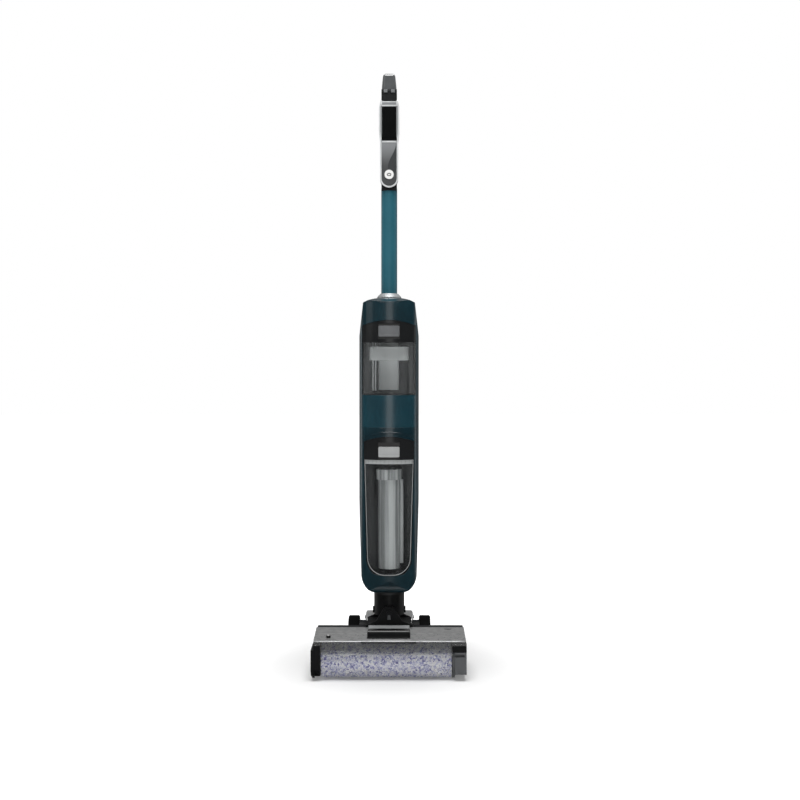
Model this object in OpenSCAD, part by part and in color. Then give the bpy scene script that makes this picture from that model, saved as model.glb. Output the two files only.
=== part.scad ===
// Upright wet dry floor scrubber: floor head with a side-loading roller, two-axis neck,
// body with two slide-out tanks, tube and loop handle. Front is -Y, up is +Z, floor at Z 0.

/* [Overall] */
// Full height, floor to top of the handle cap
total_h = 1150; // [1050:5:1250]
// Full width of the floor head
head_w = 288; // [260:1:340]
// Front reach of the floor head from the centre line
front_reach = 105; // [100:0.5:112]

/* [Floor head] */
// Outer radius of the roller with its pile
roller_r = 33; // [26:0.5:34]
// Outer radius of the rigid roller core
core_r = 23; // [18:0.5:25]
// Radial gap between the pile and the roller bay
bay_gap = 3; // [2:0.1:4]
// Width of the removable end cap
end_cap_w = 26; // [16:0.5:30]
// Width of the fixed end block on the drive side
end_block_w = 16.5; // [14:0.5:22]
// Height of the cover's rear edge
cover_rear_z = 83; // [80:0.5:84]
// Height of the cover's front edge
cover_front_z = 76; // [69:0.5:78]
// Cover wall thickness
cover_wall = 2.4; // [1.6:0.1:3]
// General moulded wall of the head
head_wall = 2.5; // [1.8:0.1:3]
// Radius of the steel stub shaft in the end cap
stub_r = 5; // [3.5:0.1:6]
// Running clearance of shafts in bores, radial
run_gap = 0.05; // [0.02:0.01:0.1]
// Width of the cover's centre latch
latch_w = 80; // [60:1:96]
// Lowest face of the chassis above the floor
floor_gap = 8; // [5:0.5:10]

/* [Wheels] */
// Wheel radius
wheel_r = 44; // [36:0.5:45]
// Wheel width
wheel_w = 22; // [14:0.5:24]
// Inner face of each wheel from the centre line
wheel_in = 58.8; // [58.5:0.1:64]
// Wheel axle radius
axle_r = 4; // [3:0.1:5]
// Tyre thickness
tyre_t = 5; // [3:0.5:8]

/* [Neck] */
// Depth position of the recline axis
pitch_y = 25; // [22:0.5:28]
// Height of the recline axis
pitch_z = 72; // [70:0.5:74]
// Radius of the recline trunnions
trunnion_r = 8; // [6:0.1:9]
// Height of the steering axis
swivel_z = 108; // [106:0.5:112]
// Radius of the steering pins
swivel_r = 4; // [3:0.1:5]
// Outer radius of the neck tube
neck_r = 29.5; // [26:0.5:30]
// Neck tube wall
neck_wall = 3; // [2:0.1:4]

/* [Body] */
// Body width
body_w = 114; // [108:1:115]
// Body depth
body_d = 128; // [118:1:130]
// Radius of the body's bowed front
bow_r = 90; // [80:1:160]
// Body shell wall
shell_t = 2.6; // [1.8:0.1:3.2]
// Half-width of the upper opening for tank and panel
bay_half = 51; // [46:0.5:52]
// Height of the clean tank from its floor to its cap
clean_h = 100; // [80:1:104]
// Height of the clean tank's cap band
band_h = 42; // [34:1:44]
// Tank wall thickness
tank_wall = 2.2; // [1.4:0.1:3]
// Slide-fit gap around each tank
tank_gap = 0.5; // [0.3:0.1:0.8]
// Outer radius of the riser tube in the dirty tank
riser_r = 21; // [14:0.5:24]
// Radius of the suction motor's casing
motor_r = 40; // [30:1:42]

/* [Handle] */
// Outer radius of the handle tube
tube_r = 15.5; // [12:0.5:16]
// Handle tube wall
tube_wall = 1.6; // [1:0.1:2.5]
// Half-width of the grip's black core
grip_half = 15; // [13:0.5:16]
// Clear depth of the finger gap
finger_gap = 35; // [30:1:40]
// Radius of the round front button
round_button_r = 8.9; // [6:0.1:10]

/* [Output] */
// Sub-part to draw, or all

/* [Hidden] */
$fn = 96;
eps = 0.02;
gap = 0.4;
head_l = -head_w / 2;
head_r = head_w / 2;
bay_l = head_l + end_block_w + 0.5;
bay_rt = head_r - end_cap_w;
roller_y = -front_reach + roller_r + 4;
roller_z = roller_r;
bay_r = roller_r + bay_gap;
deck_front = -20.7;
deck_rear = 8;
arm_root = deck_rear - head_wall - 0.5;
cover_rear = deck_front - gap;
latch_y0 = -87.6;
latch_y1 = -36;
latch_drop = 80.2;
latch_top = 91.4;
cover_low_z = cover_front_z - 26;
belt_x0 = head_l + 4;
belt_x1 = belt_x0 + 5;
wall_l0 = bay_l - head_wall;
motor_y = -13;
motor_z = 42;
brush_motor_r = 14;
hub_pulley_r = 13;
motor_pulley_r = 6;
belt_t = 1.5;
strip_top = 58;
wheel_y = 105 - wheel_r;
wheel_out = wheel_in + wheel_w;
arm_in = 51;
arm_out = wheel_in - 1;
ear_in = 44;
ear_r = 15;
neck_y = 20;
ear_clear_y = pitch_y + 13;
duct_y = neck_y + 12;
duct_r = 11.5;
inlet_z = 208;
duct_half = ear_in - 0.4;
plate_z0 = 82.5;
plate_z1 = 88;
cheek_half = 25;
cheek_top = swivel_z + 10;
front_cheek0 = neck_y - neck_r - 9.5;
front_cheek1 = neck_y - neck_r - 0.8;
rear_cheek0 = neck_y + neck_r + 0.8;
rear_cheek1 = neck_y + neck_r + 8;
body_z0 = 150;
body_z1 = 704;
body_y0 = -49;
body_cy = body_y0 + body_d / 2;
body_y1 = body_y0 + body_d;
body_corner = 34;
bow_corner = 26;
body_half = body_w / 2;
bow_cx = body_half - bow_corner;
bow_cy = body_y0 + bow_r - sqrt(pow(bow_r - bow_corner, 2) - pow(bow_cx, 2));
bow_dy = body_y0 + bow_r - bow_cy;
low_half = body_half - 4;
low_r = 36;
top_half = body_half - 7.5;
wide_z0 = 330;
wide_z1 = 640;
wall_y0 = 14.8;
wall_y1 = 17.3;
tank_back = wall_y0 - tank_gap;
dirty_z0 = 182;
dirty_top_z = 405;
dirty_half = 48;
dirty_low_half = 43;
dirty_low_r = 34;
dirty_arch_z = 449;
dirty_arch_r = 132;
panel_z0 = 466;
clean_z0 = 528;
clean_top_z = clean_z0 + clean_h;
clean_arch_z = clean_top_z + band_h;
clean_arch_r = 135;
shelf_t = 3;
dirty_latch_z0 = 410;
dirty_latch_h = 20;
clean_latch_z0 = clean_top_z + 10.5;
clean_latch_h = 21;
latch_half = 20;
filter_y = -13;
riser_y = -14;
cup_z = 366;
fan_y = 18;
fan_z0 = 456;
fan_z1 = 521;
dome_z = 716;
ring_z = 724;
tube_y = 15;
grip_z = total_h - 227;
cap_z = total_h - 31;
gap_y0 = 17;
gap_y1 = gap_y0 + finger_gap;
grip_y0 = -3;
grip_y1 = gap_y1 + 24;
loop_z0 = grip_z + 15;
loop_z1 = cap_z - 0;
gap_z0 = grip_z + 69;
gap_z1 = cap_z - 36;
button_z = grip_z + 30;
cross_z = cap_z - 34;
line_z = grip_z + 92;

// ---- shared helpers ----

// flat shape given as (x, z), drawn from y0 to y1
module xz_prism(y0, y1) {
    translate([0, y1, 0]) rotate([90, 0, 0]) linear_extrude(y1 - y0) children();
}

// flat shape given as (y, z), drawn from x0 to x1
module yz_prism(x0, x1) {
    translate([x0, 0, 0]) rotate([90, 0, 90]) linear_extrude(x1 - x0) children();
}

// flat shape given as (x, y), drawn from z0 to z1
module xy_prism(z0, z1) {
    translate([0, 0, z0]) linear_extrude(z1 - z0) children();
}

module rod_x(x0, x1, y, z, r) {
    translate([x0, y, z]) rotate([0, 90, 0]) cylinder(r = r, h = x1 - x0);
}

module rod_y(y0, y1, x, z, r) {
    translate([x, y1, z]) rotate([90, 0, 0]) cylinder(r = r, h = y1 - y0);
}

module rod_z(z0, z1, x, y, r) {
    translate([x, y, z0]) cylinder(r = r, h = z1 - z0);
}

module block(x0, x1, y0, y1, z0, z1) {
    translate([x0, y0, z0]) cube([x1 - x0, y1 - y0, z1 - z0]);
}

// rectangle with its own radius at each corner, from the low corner round anticlockwise
module round_rect(x0, x1, y0, y1, a, b, c, d) {
    union() {
        polygon([
            [x0 + a, y0], [x1 - b, y0], [x1, y0 + b], [x1, y1 - c],
            [x1 - c, y1], [x0 + d, y1], [x0, y1 - d], [x0, y0 + a]
        ]);
        if (a > 0) translate([x0 + a, y0 + a]) circle(a);
        if (b > 0) translate([x1 - b, y0 + b]) circle(b);
        if (c > 0) translate([x1 - c, y1 - c]) circle(c);
        if (d > 0) translate([x0 + d, y1 - d]) circle(d);
    }
}

module even_rect(x0, x1, y0, y1, r) {
    round_rect(x0, x1, y0, y1, r, r, r, r);
}

// ---- body outline, shared by shells and tanks; i is how far inside the skin it lies ----

module body_front(i) {
    union() {
        polygon([
            [-(low_half - i), body_z0 + low_r], [low_half - i, body_z0 + low_r],
            [body_half - i, wide_z0], [body_half - i, wide_z1],
            [top_half - i, body_z1 - i], [-(top_half - i), body_z1 - i],
            [-(body_half - i), wide_z1], [-(body_half - i), wide_z0]
        ]);
        for (s = [-1, 1])
            translate([s * (low_half - low_r), body_z0 + low_r]) circle(low_r - i);
        translate([-(low_half - low_r), body_z0 + i])
            square([2 * (low_half - low_r), low_r]);
    }
}

module body_side(i) {
    round_rect(body_y0 + i, body_y1 - i, body_z0 + i, body_z1 - i,
        26 - i, 45 - i, 24 - i, 0);
}

// bowed front, a round corner at each side of it and a squarer back
module body_plan(i) {
    union() {
        intersection() {
            translate([0, body_y0 + bow_r]) circle(bow_r - i, $fn = 180);
            polygon([
                [0, body_y0 + bow_r], [-bow_cx * 3, body_y0 + bow_r - bow_dy * 3],
                [bow_cx * 3, body_y0 + bow_r - bow_dy * 3]
            ]);
            translate([-200, body_y0 - 5]) square([400, bow_cy - body_y0 + 5]);
        }
        for (s = [-1, 1]) translate([s * bow_cx, bow_cy]) circle(bow_corner - i);
        translate([-bow_cx, bow_cy - 1]) square([2 * bow_cx, 10]);
        round_rect(-(body_half - i), body_half - i, bow_cy, body_y1 - i, 0, 0,
            body_corner - i, body_corner - i);
    }
}

module body_solid(i) {
    intersection() {
        xy_prism(body_z0 - 5, body_z1 + 5) body_plan(i);
        xz_prism(body_y0 - 5, body_y1 + 5) body_front(i);
        yz_prism(-body_half - 5, body_half + 5) body_side(i);
    }
}

module dirty_front(i) {
    intersection() {
        union() {
            polygon([
                [-(dirty_low_half - i), dirty_z0 + dirty_low_r],
                [dirty_low_half - i, dirty_z0 + dirty_low_r],
                [dirty_half - i, dirty_top_z], [dirty_half - i, dirty_arch_z + 5],
                [-(dirty_half - i), dirty_arch_z + 5], [-(dirty_half - i), dirty_top_z]
            ]);
            for (s = [-1, 1])
                translate([s * (dirty_low_half - dirty_low_r), dirty_z0 + dirty_low_r])
                    circle(dirty_low_r - i);
            translate([-(dirty_low_half - dirty_low_r), dirty_z0 + i])
                square([2 * (dirty_low_half - dirty_low_r), dirty_low_r]);
        }
        translate([0, dirty_arch_z - dirty_arch_r]) circle(dirty_arch_r - i);
    }
}

module clean_front(i) {
    intersection() {
        translate([-(bay_half - i), clean_z0 + i])
            square([2 * (bay_half - i), clean_arch_z - clean_z0]);
        translate([0, clean_arch_z - clean_arch_r]) circle(clean_arch_r - i);
    }
}

module dirty_outer(i) {
    intersection() {
        body_solid(0.3 + i);
        xz_prism(body_y0 - 5, tank_back - i) dirty_front(tank_gap + i);
    }
}

module clean_outer(i) {
    intersection() {
        body_solid(0.3 + i);
        xz_prism(body_y0 - 5, tank_back - i) clean_front(tank_gap + i);
    }
}

// countersunk pan screw along -Y, +Y or Z, its head flush at the given point
module screw_shape(head_r, shank_r, len) {
    union() {
        cylinder(r = head_r, h = 2);
        translate([0, 0, -len]) cylinder(r = shank_r, h = len + 1);
    }
}

// ---- floor head ----

module bay_profile(r) {
    translate([roller_y, roller_z]) circle(r);
}

module head_side() {
    polygon([
        [-front_reach + 1, floor_gap + 14], [-front_reach + 12, floor_gap],
        [deck_rear, floor_gap], [deck_rear, 62], [deck_front, 62],
        [deck_front, cover_rear_z - 4.5], [-front_reach + 6, cover_front_z - 4],
        [-front_reach + 1, cover_front_z - 10]
    ]);
}

module chassis_screw_set() {
    for (x = [-100, -30, 30, 100])
        translate([x * head_w / 288, -2, floor_gap + 2]) rotate([180, 0, 0])
            screw_shape(3.2, 1.5, 6);
}

module arm(s) {
    mirror([s < 0 ? 1 : 0, 0, 0]) {
        difference() {
            union() {
                yz_prism(arm_in, arm_out) polygon([
                    [arm_root, floor_gap + 6], [wheel_y, wheel_r - 13],
                    [wheel_y + 9, wheel_r - 9], [wheel_y + 13, wheel_r],
                    [wheel_y + 9, wheel_r + 9], [wheel_y, wheel_r + 13],
                    [pitch_y + 14, pitch_z], [pitch_y, pitch_z], [deck_rear + 0.2, 61.5],
                    [arm_root, 58]
                ]);
                rod_x(ear_in, arm_out, pitch_y, pitch_z, ear_r);
                yz_prism(ear_in, arm_out) polygon([
                    [arm_root, floor_gap + 6], [pitch_y + 13, pitch_z - 20],
                    [pitch_y + 14, pitch_z - 4], [pitch_y - 14, pitch_z - 4],
                    [deck_rear + 0.2, 61.5], [arm_root, 58]
                ]);
            }
            rod_x(ear_in - 1, arm_out - 2, pitch_y, pitch_z, trunnion_r + run_gap);
            rod_x(arm_in - 1, arm_out + 1, wheel_y, wheel_r, axle_r);
        }
    }
}

module head_chassis() {
    color([0.09, 0.09, 0.1])
    difference() {
        union() {
            // side wall on the drive side and stub of wall behind the end cap
            yz_prism(wall_l0, bay_l) head_side();
            yz_prism(bay_rt - 0.0, bay_rt + head_wall) intersection() {
                head_side();
                translate([roller_y + 30, 0]) square([120, 120]);
            }
            // end block above the removable cap
            yz_prism(bay_rt, head_r) intersection() {
                head_side();
                translate([-front_reach + 1, 55.2]) square([90, 14]);
            }
            // rear tray
            intersection() {
                block(wall_l0, bay_rt + head_wall, roller_y + 20, deck_rear,
                    floor_gap, 62);
                union() {
                    block(wall_l0, bay_rt + head_wall, -80, deck_rear, floor_gap,
                        floor_gap + head_wall);
                    block(wall_l0, bay_rt + head_wall, deck_rear - head_wall,
                        deck_rear, floor_gap, 62);
                    yz_prism(wall_l0, bay_rt + head_wall) bay_profile(bay_r + head_wall);
                }
            }
            for (s = [-1, 1]) arm(s);
            // bosses for the base screws
            for (x = [-100, -30, 30, 100])
                rod_z(floor_gap, floor_gap + 11, x * head_w / 288, -2, 4);
        }
        // roller bay, open at the bottom, front and end
        yz_prism(bay_l, head_r + 1) bay_profile(bay_r);
        // dirty water slot behind the roller
        block(-duct_half + 2, duct_half - 2, roller_y + 20, roller_y + bay_r + head_wall + 2,
            floor_gap + 5, floor_gap + 19);
        // bore for the drive hub's shaft
        rod_x(wall_l0 - 1, bay_l + 1, roller_y, roller_z, stub_r + run_gap);
        rod_x(wall_l0 - 1, bay_l + 1, motor_y, motor_z, 3.5);
        // outlet of the suction duct
        rod_y(deck_rear - 4, deck_rear + 1, 0, 44, 13.2);
        chassis_screw_set();
        for (x = [-12, 12])
            rod_z(floor_gap - 1, floor_gap + 1.2, x, -14, 5);
    }
}

module deck_profile() {
    round_rect(deck_front, deck_rear, 62, cover_rear_z - 1.5, 0, 0, 5, 1);
}

module rear_deck() {
    color([0.11, 0.11, 0.12])
    difference() {
        union() {
            yz_prism(wall_l0 - 8, head_r - 2) difference() {
                deck_profile();
                round_rect(deck_front + head_wall, deck_rear - head_wall, 60,
                    cover_rear_z - 1.5 - head_wall, 0, 0, 3, 0.5);
            }
            // closed ends
            yz_prism(wall_l0 - 8, wall_l0 - 6) deck_profile();
            yz_prism(head_r - 4, head_r - 2) deck_profile();
        }
        // room for the hinge ears and the neck barrel
        for (s = [-1, 1])
            mirror([s < 0 ? 1 : 0, 0, 0])
                rod_x(-1, arm_out + 0.6, pitch_y, pitch_z, ear_r + 1.2);
    }
}

module left_end_housing() {
    color([0.06, 0.06, 0.07])
    union() {
        difference() {
            yz_prism(head_l, wall_l0) difference() {
                head_side();
                translate([-27, 50]) square([60, 60]);
                translate([2, 0]) square([20, 60]);
            }
            yz_prism(head_l + head_wall, wall_l0 + 1) difference() {
                intersection() {
                    head_side();
                    translate([-front_reach + 4, floor_gap + 3]) square([104, 44]);
                }
                translate([-front_reach, 0]) square([8, 40]);
            }
            // the outer strip stays below the cover's edge
            block(head_l - 1, head_l + 5, -front_reach - 1, deck_rear + 1, strip_top, 100);
        }
        // finger hook and ribs on the outer face
        yz_prism(head_l + 2, head_l + 7) polygon([
            [-front_reach + 1, floor_gap + 14], [-front_reach + 12, floor_gap],
            [-front_reach + 12, floor_gap - 3], [-front_reach + 2, floor_gap + 5]
        ]);
    }
}

module brush_motor() {
    color([0.55, 0.56, 0.58])
    union() {
        rod_x(bay_l, bay_l + 52, motor_y, motor_z, brush_motor_r);
        rod_x(bay_l + 52, bay_l + 56, motor_y, motor_z, 6);
        // shaft through the drive side wall, carries the pulley
        rod_x(head_l + 3.2, bay_l, motor_y, motor_z, 1.5);
        // foot on the tray
        block(bay_l + 8, bay_l + 44, motor_y - 8, motor_y + 6,
            floor_gap + head_wall, motor_z);
    }
}

module scraper_blade() {
    color([0.16, 0.16, 0.17])
    intersection() {
        translate([0, roller_y, roller_z]) rotate([38, 0, 0])
            block(bay_l + 1, bay_rt - 1, roller_r + 0.6, bay_r + 1, -0.9, 0.9);
        yz_prism(bay_l, bay_rt) bay_profile(bay_r);
    }
}

module spray_bar() {
    color([0.2, 0.2, 0.22])
    union() {
        difference() {
            rod_x(-90 * head_w / 288, 90 * head_w / 288, deck_front - 8, 68.5, 3.6);
            rod_x(-92 * head_w / 288, 88 * head_w / 288, deck_front - 8, 68.5, 2);
        }
        for (x = [-75, -45, -15, 15, 45, 75])
            rod_z(63.2, 66.5, x * head_w / 288, deck_front - 8, 1.6);
        for (x = [-60, 60])
            block(x * head_w / 288 - 3, x * head_w / 288 + 3, deck_front - 6,
                deck_front, 66, 71);
    }
}

module suction_duct() {
    color([0.13, 0.13, 0.14])
    difference() {
        union() {
            intersection() {
                block(-duct_half, duct_half, -40, deck_rear - head_wall,
                    floor_gap + head_wall, 31);
                yz_prism(-duct_half, duct_half) difference() {
                    square([400, 400], center = true);
                    bay_profile(bay_r + head_wall);
                }
            }
            rod_y(-18, deck_rear, 0, 44, 13.2);
        }
        intersection() {
            block(-duct_half + 2, duct_half - 2, -45, deck_rear - head_wall - 2,
                floor_gap + head_wall + 2, 29);
            yz_prism(-duct_half + 2, duct_half - 2) difference() {
                square([400, 400], center = true);
                bay_profile(bay_r + head_wall - 1);
            }
        }
        rod_y(-16, deck_rear + 1, 0, 44, 11.4);
        block(-9, 9, -15, -2, 25, 44);
        chassis_screw_bosses_clear();
    }
}

module chassis_screw_bosses_clear() {
    for (x = [-100, -30, 30, 100])
        rod_z(floor_gap, floor_gap + 12, x * head_w / 288, -2, 4.4);
}

module drive_belt() {
    dy = motor_y - roller_y;
    dz = motor_z - roller_z;
    span = sqrt(dy * dy + dz * dz);
    tilt = atan2(dz, dy);
    big = hub_pulley_r + 0.35;
    small = motor_pulley_r + 0.35;
    lean = asin((big - small) / span);
    color([0.07, 0.07, 0.07])
    translate([belt_x0, roller_y, roller_z]) rotate([90, 0, 90]) rotate([0, 0, tilt])
        linear_extrude(belt_x1 - belt_x0) difference() {
            belt_outline(big + belt_t, small + belt_t, span, lean);
            belt_outline(big, small, span, lean);
        }
}

module belt_outline(a, b, span, lean) {
    polygon(concat(
        [for (i = [0 : 24]) let (t = 90 - lean + (180 + 2 * lean) * i / 24)
            [a * cos(t), a * sin(t)]],
        [for (i = [0 : 14]) let (t = lean - 90 + (180 - 2 * lean) * i / 14)
            [span + b * cos(t), b * sin(t)]]
    ));
}

module wheel_axles() {
    color([0.7, 0.71, 0.72])
    for (s = [-1, 1])
        mirror([s < 0 ? 1 : 0, 0, 0]) union() {
            rod_x(arm_in, wheel_out + 1.2, wheel_y, wheel_r, axle_r);
            rod_x(arm_in - 1.5, arm_in, wheel_y, wheel_r, axle_r + 1);
            rod_x(wheel_out + 0.4, wheel_out + 1.6, wheel_y, wheel_r, axle_r + 2);
        }
}

module chassis_screws() {
    color([0.6, 0.6, 0.62])
    chassis_screw_set();
}

module charging_contacts() {
    color([0.78, 0.66, 0.4])
    for (x = [-12, 12])
        rod_z(floor_gap - 0.6, floor_gap + 1.2, x, -14, 5);
}

module cover_outline(i) {
    // top, sloping to a rolled front edge, then the front lip
    polygon([
        [cover_rear + 0, cover_rear_z - 4 + i * 0], [cover_rear + 0, cover_rear_z - i],
        [-58, cover_rear_z - 3.4 - i], [-60, cover_rear_z - 4.4 - i],
        [-front_reach + 10, cover_front_z - i * 0.9],
        [-front_reach + 3.2 + i * 0.5, cover_front_z - 3.2 - i * 0.6],
        [-front_reach + i, cover_front_z - 9 - i * 0.2],
        [-front_reach + i, cover_low_z], [cover_rear, cover_low_z]
    ]);
}

module cover_window() {
    color([0.45, 0.46, 0.48, 0.5])
    difference() {
        union() {
            intersection() {
                yz_prism(head_l + 5, head_r - 1) difference() {
                    cover_outline(0);
                    cover_outline(cover_wall);
                }
                // the top runs over both end blocks
                block(head_l, head_r, -front_reach - 1, cover_rear + 1,
                    cover_front_z - 9, cover_rear_z + 2);
            }
            yz_prism(bay_l + 0.6, bay_rt - 0.6) difference() {
                cover_outline(0);
                cover_outline(cover_wall);
            }
        }
        // seat for the latch
        block(-latch_w / 2, latch_w / 2, latch_y0, latch_y1, 66, 90);
        // lower rear flange of the raw outline
        block(head_l - 1, head_r + 1, -50, cover_rear + 1, 40, cover_rear_z - 6);
        yz_prism(head_l - 1, bay_l + 0.6) head_side();
        yz_prism(bay_rt - 0.6, head_r + 1) head_side();
    }
}

module cover_latch_base() {
    color([0.05, 0.05, 0.06])
    difference() {
        union() {
            yz_prism(-latch_w / 2, latch_w / 2) polygon([
                [latch_y0, 70.2], [latch_y1, 70.2], [latch_y1, 80.2], [latch_y0, 80.2]
            ]);
        }
        yz_prism(-latch_w, latch_w) bay_profile(roller_r + 1.5);
        // pocket the pressed button sinks into
        block(-latch_w / 2 + 2, latch_w / 2 - 2, latch_y0 + 4, latch_y1 - 2, 74, 81);
    }
}

module cover_latch_button() {
    color([0.72, 0.72, 0.73])
    union() {
        difference() {
            intersection() {
                yz_prism(-latch_w / 2, latch_w / 2) union() {
                    polygon([
                        [latch_y0 - 2.6, latch_drop], [latch_y1 - 0.4, latch_drop],
                        [latch_y1 - 0.4, latch_top - 2.4], [latch_y1 - 2, latch_top - 1.2],
                        [latch_y0 + 1.4, latch_top], [latch_y0 - 2.6, latch_top - 4]
                    ]);
                    translate([latch_y0 + 1.4, latch_top - 4]) circle(4);
                }
                xz_prism(-120, 0) even_rect(-latch_w / 2 + 0.4, latch_w / 2 - 0.4,
                    latch_drop - 6, latch_top + 0.5, 5);
            }
            // room for the base, which the button slides down over
            block(-latch_w, latch_w, latch_y0 - 0.5, latch_y1 + 1, 70, latch_drop + 3.6);
        }
        block(-latch_w / 2 + 2.4, latch_w / 2 - 2.4, latch_y0 + 4.4, latch_y1 - 2.4, 77.4,
            latch_drop + 4);
    }
}

module roller_end_cap() {
    color([0.36, 0.37, 0.38])
    difference() {
        union() {
            rod_x(bay_rt - 0.0, bay_rt + 5, roller_y, roller_z, roller_r);
            yz_prism(bay_rt + 4, head_r)
                round_rect(-front_reach + 1.5, roller_y + 30, 12, 54.6, 5, 3, 3, 3);
        }
        // finger slot
        block(bay_rt + 5, head_r - 4, -front_reach, -front_reach + 6, 45, 50.5);
        // hollow behind the outer face
        yz_prism(bay_rt + 6.5, head_r - head_wall)
            round_rect(-front_reach + 8, roller_y + 26, 15, 43, 3, 2, 2, 3);
        rod_x(bay_rt - 1, bay_rt + 5, roller_y, roller_z, stub_r);
    }
}

module roller_stub_shaft() {
    color([0.75, 0.76, 0.78])
    rod_x(bay_rt - 18, bay_rt + 5, roller_y, roller_z, stub_r);
}

module roller_core() {
    color([0.3, 0.31, 0.33])
    difference() {
        rod_x(bay_l + 1, bay_rt - 1, roller_y, roller_z, core_r);
        // bore for the stub shaft
        rod_x(bay_rt - 19.5, bay_rt, roller_y, roller_z, stub_r + run_gap);
        // six-lobed socket for the drive hub
        translate([bay_l, 0, 0]) hub_lobes(13.5, 0.35);
        // hollow middle
        rod_x(bay_l + 22, bay_rt - 28, roller_y, roller_z, core_r - 4);
    }
}

module hub_lobes(len, extra) {
    translate([0, roller_y, roller_z]) rotate([0, 90, 0]) union() {
        cylinder(r = core_r - 12 + extra, h = len);
        for (a = [0 : 60 : 300])
            rotate([0, 0, a]) translate([core_r - 12, 0, 0])
                cylinder(r = 3 + extra, h = len);
    }
}

module roller_pile() {
    color([0.72, 0.72, 0.84])
    difference() {
        rod_x(bay_l + 1, bay_rt - 1, roller_y, roller_z, roller_r);
        rod_x(bay_l, bay_rt, roller_y, roller_z, core_r);
    }
}

module drive_hub() {
    color([0.2, 0.21, 0.22])
    union() {
        translate([bay_l + 0.4, 0, 0]) hub_lobes(12, 0);
        rod_x(belt_x1 + 1.4, bay_l + 0.5, roller_y, roller_z, stub_r);
        rod_x(belt_x0 - 0.8, belt_x1 + 1.5, roller_y, roller_z, hub_pulley_r);
    }
}

module motor_pulley() {
    color([0.75, 0.68, 0.45])
    difference() {
        rod_x(belt_x0 - 0.3, belt_x1 + 0.3, motor_y, motor_z, motor_pulley_r);
        rod_x(belt_x0 - 1, belt_x1 + 1, motor_y, motor_z, 1.5 + run_gap);
    }
}

module wheel_rim() {
    difference() {
        union() {
            rod_x(wheel_in + 0.3, wheel_out - 0.3, wheel_y, wheel_r, 10);
            difference() {
                rod_x(wheel_in + 0.5, wheel_out - 0.5, wheel_y, wheel_r, wheel_r - tyre_t);
                rod_x(wheel_in + 8, wheel_out + 1, wheel_y, wheel_r, wheel_r - tyre_t - 3);
            }
            for (a = [0 : 60 : 300])
                translate([0, wheel_y, wheel_r]) rotate([a, 0, 0])
                    block(wheel_in + 7, wheel_out - 3, 0, wheel_r - tyre_t - 1, -1.5, 1.5);
        }
        rod_x(wheel_in - 1, wheel_out + 1, wheel_y, wheel_r, axle_r + run_gap);
    }
}

module wheel_tyre() {
    difference() {
        union() {
            rod_x(wheel_in + 1.5, wheel_out - 1.5, wheel_y, wheel_r, wheel_r);
            rod_x(wheel_in, wheel_out, wheel_y, wheel_r, wheel_r - 1.5);
        }
        rod_x(wheel_in - 1, wheel_out + 1, wheel_y, wheel_r, wheel_r - tyre_t);
    }
}

module left_wheel_rim() {
    color([0.2, 0.2, 0.21]) mirror([1, 0, 0]) wheel_rim();
}

module left_wheel_tyre() {
    color([0.05, 0.05, 0.05]) mirror([1, 0, 0]) wheel_tyre();
}

module right_wheel_rim() {
    color([0.2, 0.2, 0.21]) wheel_rim();
}

module right_wheel_tyre() {
    color([0.05, 0.05, 0.05]) wheel_tyre();
}

// ---- neck ----

module cheek(y0, y1, foot) {
    difference() {
        xz_prism(y0, y1) union() {
            translate([0, swivel_z]) circle(14);
            polygon([
                [-cheek_half - foot, plate_z0 + 0], [cheek_half + foot, plate_z0 + 0],
                [cheek_half + foot, plate_z0 + 3.5], [cheek_half, plate_z1 + 6],
                [13, swivel_z + 5], [-13, swivel_z + 5], [-cheek_half, plate_z1 + 6],
                [-cheek_half - foot, plate_z0 + 3.5]
            ]);
        }
        rod_y(y0 - 1, y1 + 1, 0, swivel_z, swivel_r);
    }
}

module neck_yoke() {
    color([0.08, 0.08, 0.09])
    difference() {
        union() {
            // barrel with a trunnion at each end
            rod_x(-ear_in + gap, ear_in - gap, pitch_y, pitch_z, 14);
            rod_x(-arm_out + 2.6, arm_out - 2.6, pitch_y, pitch_z, trunnion_r);
            // plate above the head
            xy_prism(plate_z0, plate_z1) round_rect(-43, 43, front_cheek0, rear_cheek1,
                16, 12, 12, 16);
            cheek(front_cheek0, front_cheek1, 20);
            cheek(rear_cheek0, rear_cheek1, 18);
        }
        // water passage
        rod_z(pitch_z - 20, plate_z1 + 1, 0, neck_y, 12.6);
    }
}

module neck_shroud() {
    color([0.7, 0.72, 0.73, 0.6])
    difference() {
        union() {
            xz_prism(rear_cheek1, rear_cheek1 + 2.4) polygon([
                [-49, plate_z0], [49, plate_z0], [49, plate_z0 + 4], [44, 99], [-44, 99],
                [-49, plate_z0 + 4]
            ]);
            for (s = [-1, 1])
                mirror([s < 0 ? 1 : 0, 0, 0])
                    yz_prism(44.2, 46.4) polygon([
                        [ear_clear_y, plate_z0 + 2], [rear_cheek1 + 1, plate_z0],
                        [rear_cheek1 + 1, 97], [ear_clear_y + 8, 90]
                    ]);
        }
        for (s = [-1, 1])
            mirror([s < 0 ? 1 : 0, 0, 0])
                rod_x(43, arm_out, pitch_y, pitch_z, ear_r + 0.8);
    }
}

module swivel_pins() {
    color([0.55, 0.56, 0.58])
    union() {
        rod_y(front_cheek0 - 1, neck_y - neck_r + neck_wall - 0.4, 0, swivel_z, swivel_r);
        rod_y(front_cheek0 - 1.2, front_cheek0, 0, swivel_z, swivel_r + 2);
        rod_y(neck_y + neck_r - neck_wall + 0.4, rear_cheek1 + 2, 0, swivel_z, swivel_r);
    }
}

module hose_ring(z) {
    translate([0, neck_y, z]) rotate_extrude() translate([12.2, 0]) circle(1.4);
}

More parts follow.
